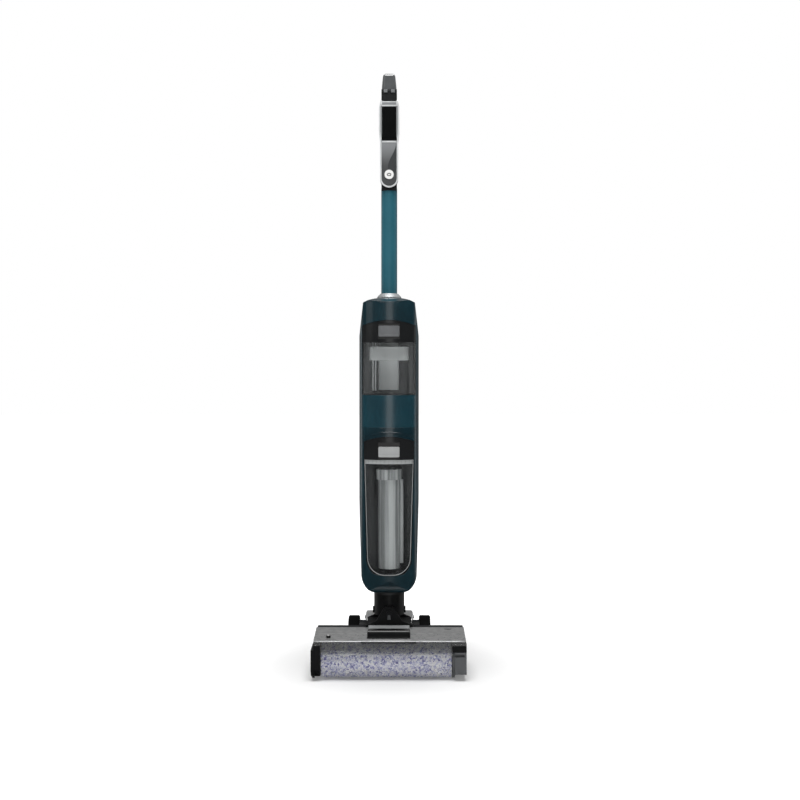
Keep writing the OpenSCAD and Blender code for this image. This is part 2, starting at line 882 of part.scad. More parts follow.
module neck_hose() {
    color([0.3, 0.3, 0.32])
    union() {
        difference() {
            rod_z(plate_z0, 124, 0, neck_y, 12.6);
            rod_z(plate_z0 - 1, 125, 0, neck_y, 11);
        }
        for (z = [92 : 5 : 122]) hose_ring(z);
    }
}

module neck_tube() {
    color([0.07, 0.07, 0.08])
    difference() {
        union() {
            rod_z(swivel_z - 7, body_z0 + 12, 0, neck_y, neck_r);
            // flare into the body
            translate([0, neck_y, 0]) rotate_extrude() polygon([
                [neck_r - 2, body_z0 - 12], [neck_r + 0.2, body_z0 - 8],
                [neck_r + 2.2, body_z0 - 3], [neck_r + 6, body_z0 + 3],
                [neck_r + 6, body_z0 + 12], [neck_r - 2, body_z0 + 12]
            ]);
            // stop bosses at both sides
            rod_x(-neck_r - 2.4, neck_r + 2.4, neck_y, swivel_z + 1, 6.5);
        }
        rod_z(swivel_z - 20, body_z0 + 20, 0, neck_y, neck_r - neck_wall);
        // bores for the two steering pins
        rod_y(neck_y - neck_r - 5, neck_y + neck_r + 5, 0, swivel_z, swivel_r + run_gap);
        body_solid(0);
    }
}

// ---- body ----

module shell_ring() {
    difference() {
        body_solid(0);
        body_solid(shell_t);
    }
}

module upper_opening(i) {
    translate([-(bay_half - i), panel_z0 + i]) square([
        2 * (bay_half - i), clean_arch_z - panel_z0 - 2 * i - 30
    ]);
}

module front_frame() {
    color([0.0, 0.2, 0.26])
    union() {
        difference() {
            intersection() {
                shell_ring();
                block(-200, 200, -200, wall_y0, 0, body_z1);
            }
            xz_prism(-100, 100) dirty_front(0);
            xz_prism(-100, 100) upper_opening(0);
            xz_prism(-100, 100) clean_front(0);
            rod_z(body_z0 - 5, body_z0 + 10, 0, neck_y, neck_r - neck_wall);
        }
        // raised bead over the lower window
        intersection() {
            difference() {
                body_solid(-0.7);
                body_solid(0);
            }
            xz_prism(-100, -20) intersection() {
                difference() {
                    translate([0, dirty_arch_z - dirty_arch_r]) circle(dirty_arch_r + 9);
                    translate([0, dirty_arch_z - dirty_arch_r]) circle(dirty_arch_r + 6.5);
                }
                translate([-46, 400]) square([92, 100]);
            }
        }
    }
}

module grille_window(i) {
    even_rect(-26 + i, 26 - i, 470 + i, 512 - i, 6);
}

module body_screw_set() {
    for (x = [-34, 34], z = [230, 420, 600])
        translate([x, body_y1 - 2 - 1.0, z]) rotate([-90, 0, 0])
            screw_shape(3.2, 1.5, 7);
}

module rear_shell() {
    color([0.01, 0.12, 0.16])
    difference() {
        union() {
            intersection() {
                shell_ring();
                block(-200, 200, wall_y0, 200, 0, body_z1);
            }
            // screw towers
            intersection() {
                body_solid(1);
                for (x = [-34, 34], z = [230, 420, 600])
                    rod_y(body_y1 - 16, body_y1, x, z, 5.5);
            }
        }
        xz_prism(body_y1 - 12, 200) grille_window(0);
        body_screw_set();
        rod_z(body_z0 - 5, body_z0 + 10, 0, neck_y, neck_r - neck_wall);
    }
}

module body_screws() {
    color([0.2, 0.2, 0.21])
    body_screw_set();
}

module mid_panel() {
    color([0.1, 0.32, 0.37])
    intersection() {
        difference() {
            body_solid(0);
            body_solid(shell_t);
        }
        xz_prism(-100, wall_y0 - 1) translate([-(bay_half - 0.2), panel_z0 + 0.2])
            square([2 * (bay_half - 0.2), clean_z0 - panel_z0 - 0.4]);
    }
}

module dome() {
    intersection() {
        xy_prism(body_z1, dome_z + 2) intersection() {
            body_plan(0);
            even_rect(-top_half, top_half, body_y0 - 60, body_y1 - 12, body_corner - 8);
        }
        xz_prism(-200, 200) translate([0, dome_z - 108]) circle(108);
        yz_prism(-200, 200) translate([tube_y - 4, dome_z - 176]) circle(176);
    }
}

module top_cap() {
    color([0.02, 0.1, 0.13])
    difference() {
        dome();
        rod_z(body_z1 - 1, dome_z + 5, 0, tube_y, tube_r);
    }
}

module tube_ring() {
    color([0.75, 0.76, 0.77])
    difference() {
        translate([0, tube_y, 0]) rotate_extrude() polygon([
            [tube_r, body_z1 + 2], [tube_r + 8, body_z1 + 2], [tube_r + 8, dome_z + 1],
            [tube_r + 6.2, dome_z + 3.6], [tube_r + 1.6, ring_z], [tube_r, ring_z]
        ]);
        dome();
    }
}

module inner_frame() {
    color([0.18, 0.18, 0.2])
    difference() {
        union() {
            intersection() {
                body_solid(shell_t);
                union() {
                    block(-100, 100, wall_y0, wall_y1, 0, 1000);
                    // shelves over the dirty tank, under and over the clean tank
                    block(-100, 100, -100, wall_y1, dirty_arch_z + 0.5,
                        dirty_arch_z + 0.5 + shelf_t);
                    block(-100, 100, -100, 62, clean_z0 - shelf_t - 0.4, clean_z0 - 0.4);
                    block(-100, 100, -100, wall_y1, clean_arch_z + 0.6,
                        clean_arch_z + 0.6 + shelf_t);
                    block(-50, 50, wall_y0, 62, fan_z0 - shelf_t, fan_z0);
                }
            }
            // suction passage from the neck to the dirty tank's inlet
            rod_z(body_z0 + 3, 222, 0, duct_y, duct_r + 2);
            rod_y(wall_y0, duct_y, 0, inlet_z, duct_r + 2);
        }
        rod_z(body_z0 - 4, inlet_z + 2, 0, duct_y, duct_r);
        rod_y(wall_y0 - 1, duct_y, 0, inlet_z, duct_r);
        // air inlet of the motor and room for its casing
        rod_z(fan_z0 - 5, fan_z0 + 1, 0, fan_y, 15);
        rod_z(dirty_arch_z, dirty_arch_z + 5, 0, filter_y, 12);
        rod_z(fan_z0, fan_z1, 0, fan_y, motor_r);
        // wall opening over the pump hose
        rod_z(body_z0 - 10, body_z0 + 10, 0, neck_y, neck_r - neck_wall);
    }
}

module suction_motor() {
    color([0.3, 0.31, 0.33])
    difference() {
        union() {
            difference() {
                rod_z(fan_z0, fan_z1, 0, fan_y, motor_r);
                rod_z(fan_z0 + 2.5, fan_z1 - 2.5, 0, fan_y, motor_r - 2.5);
            }
            rod_z(fan_z0 + 22, fan_z1 - 1, 0, fan_y, 25);
        }
        rod_z(fan_z0 - 1, fan_z0 + 5, 0, fan_y, 14);
        rod_z(fan_z0, fan_z1 - 10, 0, fan_y, 3 + run_gap);
        for (a = [15 : 30 : 345])
            translate([0, fan_y, 0]) rotate([0, 0, a])
                block(motor_r - 5, motor_r + 3, -3, 3, fan_z1 - 24, fan_z1 - 8);
    }
}

module fan_impeller() {
    color([0.78, 0.79, 0.8])
    union() {
        rod_z(fan_z0 + 7, fan_z0 + 9, 0, fan_y, motor_r - 6);
        rod_z(fan_z0 + 7, fan_z0 + 18, 0, fan_y, 8);
        rod_z(fan_z0 + 7, fan_z1 - 12, 0, fan_y, 3);
        for (a = [0 : 40 : 320])
            translate([0, fan_y, 0]) rotate([0, 0, a])
                block(6, motor_r - 7, -0.8, 0.8, fan_z0 + 8, fan_z0 + 18);
    }
}

module battery_pack() {
    color([0.15, 0.15, 0.17])
    union() {
        yz_prism(-38, 38) even_rect(wall_y1, 61, 545, 668, 4);
        block(-16, 16, 30, 56, 538, 546);
    }
}

module water_pump() {
    color([0.24, 0.25, 0.27])
    union() {
        block(-18, 18, wall_y1, 34, 392, 432);
        rod_z(388, 436, 0, 40, 14);
        // delivery line down to the neck
        rod_z(170, 393, 30, wall_y1 + 2.5, 2.5);
        block(16, 32, wall_y1, wall_y1 + 5, 388, 394);
        rod_z(430, 448, -30, wall_y1 + 2.5, 2.5);
        block(-32, -16, wall_y1, wall_y1 + 5, 426, 432);
    }
}

module exhaust_grille() {
    color([0.12, 0.12, 0.13])
    difference() {
        intersection() {
            shell_ring();
            xz_prism(body_y1 - 8, 200) grille_window(0.2);
        }
        for (z = [475 : 5 : 506])
            block(-20, 20, body_y1 - 12, body_y1 + 3, z, z + 2.2);
    }
}

// ---- handle ----

module handle_tube() {
    color([0.08, 0.36, 0.43])
    difference() {
        rod_z(body_z1, grip_z + 6, 0, tube_y, tube_r);
        rod_z(body_z1 - 1, grip_z + 7, 0, tube_y, tube_r - tube_wall);
    }
}

module grip_side() {
    difference() {
        union() {
            round_rect(grip_y0, grip_y1, loop_z0, loop_z1, 6, 58, 22, 4);
            // neck of the grip over the tube
            polygon([
                [tube_y - 17.6, loop_z0 + 8], [tube_y - tube_r - 1.6, grip_z],
                [tube_y + tube_r + 1.6, grip_z], [tube_y + 21, loop_z0 + 8]
            ]);
        }
        round_rect(gap_y0, gap_y1, gap_z0, gap_z1, 12, 15, 12, 12);
    }
}

module grip_solid() {
    intersection() {
        yz_prism(-30, 30) grip_side();
        xy_prism(grip_z - 1, total_h) round_rect(-grip_half - 0, grip_half + 0,
            grip_y0 - 0.0, grip_y1, 4, 4, 13, 13);
    }
}

module grip_pockets() {
    union() {
        rod_z(grip_z - 1, grip_z + 6, 0, tube_y, tube_r);
        // pocket behind the round button
        rod_y(grip_y0 - 1, grip_y0 + 1.8, 0, button_z, round_button_r + 0.3);
        // pockets behind the two small buttons
        block(-11, -2.5, grip_y0 - 1, grip_y0 + 4.4, cap_z - 8, cap_z + 1);
        block(3, 11.5, grip_y0 - 1, grip_y0 + 4.4, cap_z - 8, cap_z + 1);
        // cable and switch space
        block(-8, 8, 3, 12, grip_z + 60, cap_z - 12);
    }
}

module grip_left() {
    color([0.1, 0.1, 0.11])
    difference() {
        intersection() {
            grip_solid();
            block(-50, 0, -50, 150, 0, total_h + 10);
        }
        grip_pockets();
    }
}

module grip_right() {
    color([0.1, 0.1, 0.11])
    difference() {
        intersection() {
            grip_solid();
            block(0, 50, -50, 150, 0, total_h + 10);
        }
        grip_pockets();
    }
}

module trim_outline(i) {
    low = grip_half + 2.5 - i;
    mid = grip_half + 4.7 - i;
    union() {
        translate([0, grip_z + 5 + grip_half + 2.5]) circle(low);
        polygon([
            [-low, grip_z + 5 + grip_half + 2.5], [low, grip_z + 5 + grip_half + 2.5],
            [low, line_z], [mid, line_z + 22], [mid, cross_z - 2], [low - 1, cross_z + 11],
            [-low + 1, cross_z + 11], [-mid, cross_z - 2], [-mid, line_z + 22],
            [-low, line_z]
        ]);
    }
}

module side_trim() {
    color([0.75, 0.76, 0.77])
    union() {
        difference() {
            xz_prism(grip_y0 - 2.6, 13) trim_outline(0);
            xz_prism(grip_y0 - 3, 14) trim_outline(2.9);
            xz_prism(grip_y0, 14) square([2 * grip_half, 4000], center = true);
            block(-10, 10, -30, 30, cross_z + 9.5, cross_z + 20);
            block(-tube_r - 2, tube_r + 2, grip_y0, 30, grip_z - 5, loop_z0);
        }
        // bar over and line under the dark window
        block(-grip_half, grip_half, grip_y0 - 2.6, grip_y0, cross_z, cross_z + 9);
        block(-grip_half + 1, grip_half - 1, grip_y0 - 2.4, grip_y0, line_z, line_z + 2.4);
    }
}

module front_fascia() {
    color([0.2, 0.2, 0.21])
    difference() {
        intersection() {
            xz_prism(grip_y0 - 2.2, grip_y0) trim_outline(2.9);
            union() {
                block(-40, 40, -40, 40, grip_z + 5, line_z);
                block(-grip_half + 1, grip_half - 1, -40, 40, line_z + 2.4, cross_z);
                block(-40, 40, -40, 40, line_z + 10, cross_z);
            }
        }
        rod_y(grip_y0 - 3, grip_y0 + 1, 0, button_z, round_button_r + 0.35);
    }
}

module grip_cap() {
    color([0.62, 0.63, 0.64])
    intersection() {
        yz_prism(-30, 30) round_rect(grip_y0 + 3, 30, cap_z, total_h, 0, 0, 16, 6);
        xz_prism(-50, 60) union() {
            polygon([
                [-14.3, cap_z], [14.3, cap_z], [14.1, cap_z + 6], [12.2, total_h - 8],
                [4.2, total_h], [-4.2, total_h], [-12.2, total_h - 8], [-14.1, cap_z + 6]
            ]);
            for (s = [-1, 1]) translate([s * 4.2, total_h - 8]) circle(8);
        }
        xy_prism(cap_z, total_h) even_rect(-14.6, 14.6, grip_y0 + 3, 30, 9);
    }
}

module clean_button() {
    color([0.85, 0.86, 0.86])
    rod_y(grip_y0 - 3.4, grip_y0 + 0.2, 0, button_z, round_button_r);
}

module small_button(x0, x1) {
    union() {
        block(x0, x1, grip_y0 - 1.6, grip_y0 + 1.8, cap_z - 7.2, cap_z - 1.2);
    }
}

module power_button() {
    color([0.5, 0.5, 0.51])
    small_button(-10.4, -3.1);
}

module mode_button() {
    color([0.5, 0.5, 0.51])
    small_button(3.6, 10.9);
}

// ---- dirty water tank ----

module dirty_tank_shell() {
    color([0.5, 0.52, 0.53, 0.45])
    difference() {
        intersection() {
            dirty_outer(0);
            block(-100, 100, -100, 100, 0, dirty_top_z);
        }
        intersection() {
            dirty_outer(tank_wall);
            block(-100, 100, -100, 100, 0, dirty_top_z + 1);
        }
        // inlet from the body
        rod_y(tank_back - 6, tank_back + 1, 0, inlet_z, 12);
    }
}

module riser_tube() {
    color([0.82, 0.83, 0.83, 0.7])
    union() {
        // pipe with its inlet stub
        difference() {
            union() {
                rod_z(196, cup_z, 0, riser_y, riser_r);
                rod_y(riser_y, tank_back - tank_wall, 0, inlet_z, 12);
            }
            rod_z(199, cup_z + 2, 0, riser_y, riser_r - 2);
            rod_y(riser_y, tank_back, 0, inlet_z, 10.2);
        }
        // strainer cup standing on the pipe
        difference() {
            rod_z(cup_z + 0.05, cup_z + 20, 0, riser_y, riser_r + 4);
            rod_z(cup_z - 1, cup_z + 3, 0, riser_y, riser_r - 2);
            rod_z(cup_z + 2, cup_z + 24, 0, riser_y, riser_r + 2.2);
        }
        // float guide hung under the cup's rim
        rod_z(205, cup_z, riser_r + 3, riser_y + 2, 4);
    }
}

module latch_pocket(z0, h, depth, above) {
    block(-latch_half - 0.8, latch_half + 0.8, body_y0 - 5, body_y0 + depth, z0 - 3.3,
        z0 + h + above);
}

module dirty_lid() {
    color([0.14, 0.14, 0.15])
    difference() {
        intersection() {
            dirty_outer(0);
            block(-100, 100, -100, 100, dirty_top_z, dirty_arch_z + 1);
        }
        intersection() {
            dirty_outer(3);
            block(-100, 100, -100, 100, dirty_top_z - 1, dirty_arch_z - 16);
            block(-100, 100, body_y0 + 13, 100, 0, 1000);
        }
        latch_pocket(dirty_latch_z0, dirty_latch_h, 8, 8);
        rod_z(dirty_arch_z - 20, dirty_arch_z + 2, 0, filter_y, 12);
    }
}

module dirty_seal() {
    color([0.7, 0.71, 0.71])
    difference() {
        intersection() {
            dirty_outer(tank_wall);
            block(-100, 100, -100, 100, dirty_top_z - 8, dirty_top_z);
        }
        intersection() {
            dirty_outer(tank_wall + 4);
            block(-100, 100, -100, 100, dirty_top_z - 9, dirty_top_z + 1);
        }
    }
}

module dirty_filter() {
    color([0.86, 0.86, 0.84])
    difference() {
        rod_z(dirty_top_z + 3, dirty_arch_z - 16, 0, filter_y, 22);
        rod_z(dirty_top_z + 2, dirty_arch_z - 15, 0, filter_y, 12);
    }
}

module latch_plate(z0, h, depth) {
    union() {
        intersection() {
            xz_prism(body_y0 - 5, body_y0 + depth)
                even_rect(-latch_half, latch_half, z0, z0 + h, 2.5);
            body_solid(0.8);
        }
        intersection() {
            xz_prism(body_y0 - 5, body_y0 + depth - 1)
                even_rect(-latch_half + 1, latch_half - 1, z0 + 0.6, z0 + 5, 1.5);
            body_solid(-0.4);
        }
    }
}

module dirty_latch() {
    color([0.6, 0.61, 0.61])
    latch_plate(dirty_latch_z0, dirty_latch_h, 7.6);
}

// ---- clean water tank ----

module clean_tank_shell() {
    color([0.4, 0.41, 0.42, 0.5])
    difference() {
        intersection() {
            clean_outer(0);
            block(-100, 100, -100, 100, 0, clean_top_z);
        }
        intersection() {
            clean_outer(tank_wall);
            block(-100, 100, -100, 100, 0, clean_top_z + 1);
        }
    }
}

module clean_cap() {
    color([0.14, 0.14, 0.15])
    difference() {
        intersection() {
            clean_outer(0);
            block(-100, 100, -100, 100, clean_top_z, 1000);
        }
        intersection() {
            clean_outer(3);
            block(-100, 100, body_y0 + 13, 100, clean_top_z - 1, clean_arch_z - 16);
        }
        latch_pocket(clean_latch_z0, clean_latch_h, 8, 4);
    }
}

module pickup_column() {
    color([0.66, 0.67, 0.67])
    union() {
        xy_prism(clean_z0 + 9, clean_top_z) even_rect(-21, 19, -2, 12, 4);
        difference() {
            xy_prism(clean_top_z - 34, clean_top_z - 8) even_rect(-38, 38, -28, 11.5, 9);
            xy_prism(clean_top_z - 32, clean_top_z - 7) even_rect(-36, 36, -26, 10, 8);
        }
        for (x = [-31, -26]) rod_z(clean_z0 + 8, clean_top_z, x, -12, 1.6);
    }
}

module clean_latch() {
    color([0.4, 0.41, 0.41])
    latch_plate(clean_latch_z0, clean_latch_h, 7.6);
}

// ---- output ----

head_chassis();
rear_deck();
left_end_housing();
brush_motor();
scraper_blade();
spray_bar();
suction_duct();
drive_belt();
wheel_axles();
chassis_screws();
charging_contacts();
cover_window();
cover_latch_base();
cover_latch_button();
roller_end_cap();
roller_stub_shaft();
roller_core();
roller_pile();
drive_hub();
motor_pulley();
left_wheel_rim();
left_wheel_tyre();
right_wheel_rim();
right_wheel_tyre();
neck_yoke();
neck_shroud();
swivel_pins();
neck_hose();
neck_tube();
front_frame();
rear_shell();
mid_panel();
top_cap();
tube_ring();
inner_frame();
suction_motor();
battery_pack();
water_pump();
exhaust_grille();
handle_tube();
grip_left();
grip_right();
side_trim();
front_fascia();
grip_cap();
body_screws();
fan_impeller();
dirty_tank_shell();
riser_tube();
dirty_lid();
dirty_seal();
dirty_filter();
dirty_latch();
clean_tank_shell();
clean_cap();
pickup_column();
clean_latch();
clean_button();
power_button();
mode_button();
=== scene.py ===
# Upright wet dry floor scrubber: finishes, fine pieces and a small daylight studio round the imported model.
import bpy
import math
import random
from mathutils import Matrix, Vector


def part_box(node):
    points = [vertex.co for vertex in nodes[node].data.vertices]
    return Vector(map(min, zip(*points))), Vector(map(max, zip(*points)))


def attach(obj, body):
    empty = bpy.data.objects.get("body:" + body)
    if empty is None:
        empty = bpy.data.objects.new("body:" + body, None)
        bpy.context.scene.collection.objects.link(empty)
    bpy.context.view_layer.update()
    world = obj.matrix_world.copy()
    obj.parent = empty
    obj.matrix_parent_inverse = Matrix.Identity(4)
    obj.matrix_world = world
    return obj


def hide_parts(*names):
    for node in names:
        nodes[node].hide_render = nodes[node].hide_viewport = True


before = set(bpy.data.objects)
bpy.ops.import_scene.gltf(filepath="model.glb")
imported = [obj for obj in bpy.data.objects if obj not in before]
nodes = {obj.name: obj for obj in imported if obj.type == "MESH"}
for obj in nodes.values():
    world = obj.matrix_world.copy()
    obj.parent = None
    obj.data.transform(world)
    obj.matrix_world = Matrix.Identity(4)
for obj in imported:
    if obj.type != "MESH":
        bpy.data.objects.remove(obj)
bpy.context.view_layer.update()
mm = 0.001
scene = bpy.context.scene


def linearColour(hexCode):
    # sRGB hex to the linear values a shader wants
    parts = [int(hexCode[i:i + 2], 16) / 255 for i in (1, 3, 5)]
    return tuple(c / 12.92 if c <= 0.04045 else ((c + 0.055) / 1.055) ** 2.4 for c in parts) + (1.0,)


def addNode(tree, kind, settings=None, links=None):
    # one node, its settings (a socket by name or number, or a property) and the sockets that feed it
    node = tree.nodes.new(kind)
    for key, value in (settings or {}).items():
        if isinstance(key, int) or key in node.inputs:
            node.inputs[key].default_value = value
        else:
            setattr(node, key, value)
    for key, source in (links or {}).items():
        tree.links.new(source, node.inputs[key])
    return node


def startMaterial(name):
    material = bpy.data.materials.new(name)
    material.use_nodes = True
    tree = material.node_tree
    tree.nodes.clear()
    output = addNode(tree, "ShaderNodeOutputMaterial")
    place = addNode(tree, "ShaderNodeTexCoord").outputs["Object"]
    return material, tree, output, place


def rampStops(ramp, stops):
    # stops are (position, hex) pairs
    items = ramp.color_ramp.elements
    while len(items) < len(stops):
        items.new(0.5)
    for item, (position, colour) in zip(items, stops):
        item.position = position
        item.color = linearColour(colour)


def perMm(size):
    # texture scale for a feature of this many millimetres, as object space is in metres
    return 1.0 / (size * mm)


# places of the sockets on a colour mix, whose names are shared with its sockets for numbers
mixAmount, mixUnder, mixOver, mixResult = 0, 6, 7, 2

# what an opaque finish has unless its own line says otherwise
opaqueUsual = dict(driftMm=60, smearMm=25, roundMm=0.5, depthMm=0.05, bump=0.12, wear=0.12, edge="#9a9c9c",
                   metal=0.0, coat=0.0, coatRough=0.03, sheen=0.0, specular=0.5)


def surfaceMaterial(name, ownRecipe):
    # colour drifts a little over the piece, the grain lifts the surface and edges are worn or rounded
    recipe = {**opaqueUsual, **ownRecipe}
    material, tree, output, place = startMaterial(name)
    drift = addNode(tree, "ShaderNodeTexNoise", {"Scale": perMm(recipe["driftMm"]), "Detail": 3.0},
                    {"Vector": place})
    colour = addNode(tree, "ShaderNodeValToRGB", links={"Fac": drift.outputs["Fac"]})
    rampStops(colour, [(0.32, recipe["shade"]), (0.68, recipe["colour"])])
    colourOut = colour.outputs["Color"]

    if "fleck" in recipe:
        # flakes in the lacquer: about one cell in seven glints
        flecks = addNode(tree, "ShaderNodeTexVoronoi", {"Scale": perMm(recipe["fleckMm"])}, {"Vector": place})
        pick = addNode(tree, "ShaderNodeSeparateColor", links={0: flecks.outputs["Color"]})
        shine = addNode(tree, "ShaderNodeMapRange", {"From Min": 0.86, "From Max": 1.0, "To Max": 0.7},
                        {"Value": pick.outputs[0]})
        flecked = addNode(tree, "ShaderNodeMix",
                          {"data_type": "RGBA", mixOver: linearColour(recipe["fleck"])},
                          {mixAmount: shine.outputs["Result"], mixUnder: colourOut})
        colourOut = flecked.outputs[mixResult]

    if "grade" in recipe:
        # a slow change of colour along one direction, between two places in millimetres
        low, high, tint, axis = recipe["grade"]
        split = addNode(tree, "ShaderNodeSeparateXYZ", links={0: place})
        along = addNode(tree, "ShaderNodeMapRange",
                        {"From Min": low * mm, "From Max": high * mm, "interpolation_type": "SMOOTHSTEP"},
                        {"Value": split.outputs[axis]})
        graded = addNode(tree, "ShaderNodeMix", {"data_type": "RGBA", mixOver: linearColour(tint)},
                         {mixAmount: along.outputs["Result"], mixUnder: colourOut})
        colourOut = graded.outputs[mixResult]

    # edges that hands and floors rub are a little paler
    geometry = addNode(tree, "ShaderNodeNewGeometry")
    worn = addNode(tree, "ShaderNodeMapRange", {"From Min": 0.52, "From Max": 0.62, "To Max": recipe["wear"]},
                   {"Value": geometry.outputs["Pointiness"]})
    edged = addNode(tree, "ShaderNodeMix", {"data_type": "RGBA", mixOver: linearColour(recipe["edge"])},
                    {mixAmount: worn.outputs["Result"], mixUnder: colourOut})

    smear = addNode(tree, "ShaderNodeTexNoise", {"Scale": perMm(recipe["smearMm"]), "Detail": 4.0},
                    {"Vector": place})
    rough = addNode(tree, "ShaderNodeMapRange",
                    {"To Min": recipe["rough"] * 0.8, "To Max": recipe["rough"] * 1.25},
                    {"Value": smear.outputs["Fac"]})

    rounded = addNode(tree, "ShaderNodeBevel", {"samples": 3, "Radius": recipe["roundMm"] * mm})
    if "weave" in recipe:
        # turned rings or folds, drawn about twice as far apart as the real ones so that they show
        grain = addNode(tree, "ShaderNodeTexWave",
                        {"Scale": perMm(recipe["grainMm"]) / (2 * math.pi), "Distortion": 0.3,
                         "bands_direction": recipe["weave"]}, {"Vector": place})
    else:
        grain = addNode(tree, "ShaderNodeTexNoise", {"Scale": perMm(recipe["grainMm"]), "Detail": 2.0},
                        {"Vector": place})
    bump = addNode(tree, "ShaderNodeBump", {"Strength": recipe["bump"], "Distance": recipe["depthMm"] * mm},
                   {"Height": grain.outputs["Fac"], "Normal": rounded.outputs["Normal"]})
    shader = addNode(tree, "ShaderNodeBsdfPrincipled", {
        "Metallic": recipe["metal"], "Coat Weight": recipe["coat"], "Coat Roughness": recipe["coatRough"],
        "Sheen Weight": recipe["sheen"], "Specular IOR Level": recipe["specular"], "IOR": 1.5,
    }, {"Base Color": edged.outputs[mixResult], "Roughness": rough.outputs["Result"],
        "Normal": bump.outputs["Normal"], "Coat Normal": rounded.outputs["Normal"]})
    tree.links.new(shader.outputs[0], output.inputs[0])
    return material


# what a clear or smoked plastic has unless its own line says otherwise
clearUsual = dict(blend=0.4, hazeMm=30, paintedBandMm=9, waveMm=8, roundMm=0.6, depthMm=0.1, coat=0.6)


def clearMaterial(name, ownRecipe):
    # a see-through wall: light passes tinted, and more of the surface shows towards its edges
    recipe = {**clearUsual, **ownRecipe}
    material, tree, output, place = startMaterial(name)
    facing = addNode(tree, "ShaderNodeLayerWeight", {"Blend": recipe["blend"]})
    amount = addNode(tree, "ShaderNodeMapRange", {"To Min": recipe["body"], "To Max": recipe["edgeBody"]},
                     {"Value": facing.outputs["Facing"]})
    amountOut = amount.outputs["Result"]
    if "denseAbove" in recipe:
        # the top wall is thicker, so less passes through it than through the upright front
        low, high, most = recipe["denseAbove"]
        split = addNode(tree, "ShaderNodeSeparateXYZ", links={0: place})
        dense = addNode(tree, "ShaderNodeMapRange",
                        {"From Min": low * mm, "From Max": high * mm, "To Max": most},
                        {"Value": split.outputs["Z"]})
        larger = addNode(tree, "ShaderNodeMath", {"operation": "MAXIMUM"},
                         {0: amountOut, 1: dense.outputs["Result"]})
        amountOut = larger.outputs[0]
    haze = addNode(tree, "ShaderNodeTexNoise", {"Scale": perMm(recipe["hazeMm"]), "Detail": 4.0},
                   {"Vector": place})
    rough = addNode(tree, "ShaderNodeMapRange",
                    {"To Min": recipe["rough"] * 0.7, "To Max": recipe["rough"] * 1.4},
                    {"Value": haze.outputs["Fac"]})
    # upright lighter and darker bands a few millimetres wide: painted reflection and shade in the clear walls
    drawn = addNode(tree, "ShaderNodeMapping", {"Scale": (1.0, 1.0, 0.03)}, {"Vector": place})
    paintedBands = addNode(tree, "ShaderNodeTexNoise", {"Scale": perMm(recipe["paintedBandMm"]), "Detail": 2.0},
                   {"Vector": drawn.outputs["Vector"]})
    tint = addNode(tree, "ShaderNodeValToRGB", links={"Fac": paintedBands.outputs["Fac"]})
    rampStops(tint, [(0.36, recipe["shade"]), (0.6, recipe["colour"])])
    waves = addNode(tree, "ShaderNodeTexNoise", {"Scale": perMm(recipe["waveMm"]), "Detail": 1.0},
                    {"Vector": place})
    rounded = addNode(tree, "ShaderNodeBevel", {"samples": 3, "Radius": recipe["roundMm"] * mm})
    ripple = addNode(tree, "ShaderNodeBump", {"Strength": 0.05, "Distance": recipe["depthMm"] * mm},
                     {"Height": waves.outputs["Fac"], "Normal": rounded.outputs["Normal"]})
    shader = addNode(tree, "ShaderNodeBsdfPrincipled", {
        "IOR": 1.49, "Coat Weight": recipe["coat"], "Coat Roughness": 0.04,
    }, {"Base Color": tint.outputs["Color"], "Roughness": rough.outputs["Result"],
        "Normal": ripple.outputs["Normal"]})
    passing = addNode(tree, "ShaderNodeBsdfTransparent", {"Color": linearColour(recipe["through"])})
    both = addNode(tree, "ShaderNodeMixShader",
                   links={0: amountOut, 1: passing.outputs[0], 2: shader.outputs[0]})
    tree.links.new(both.outputs[0], output.inputs[0])
    return material


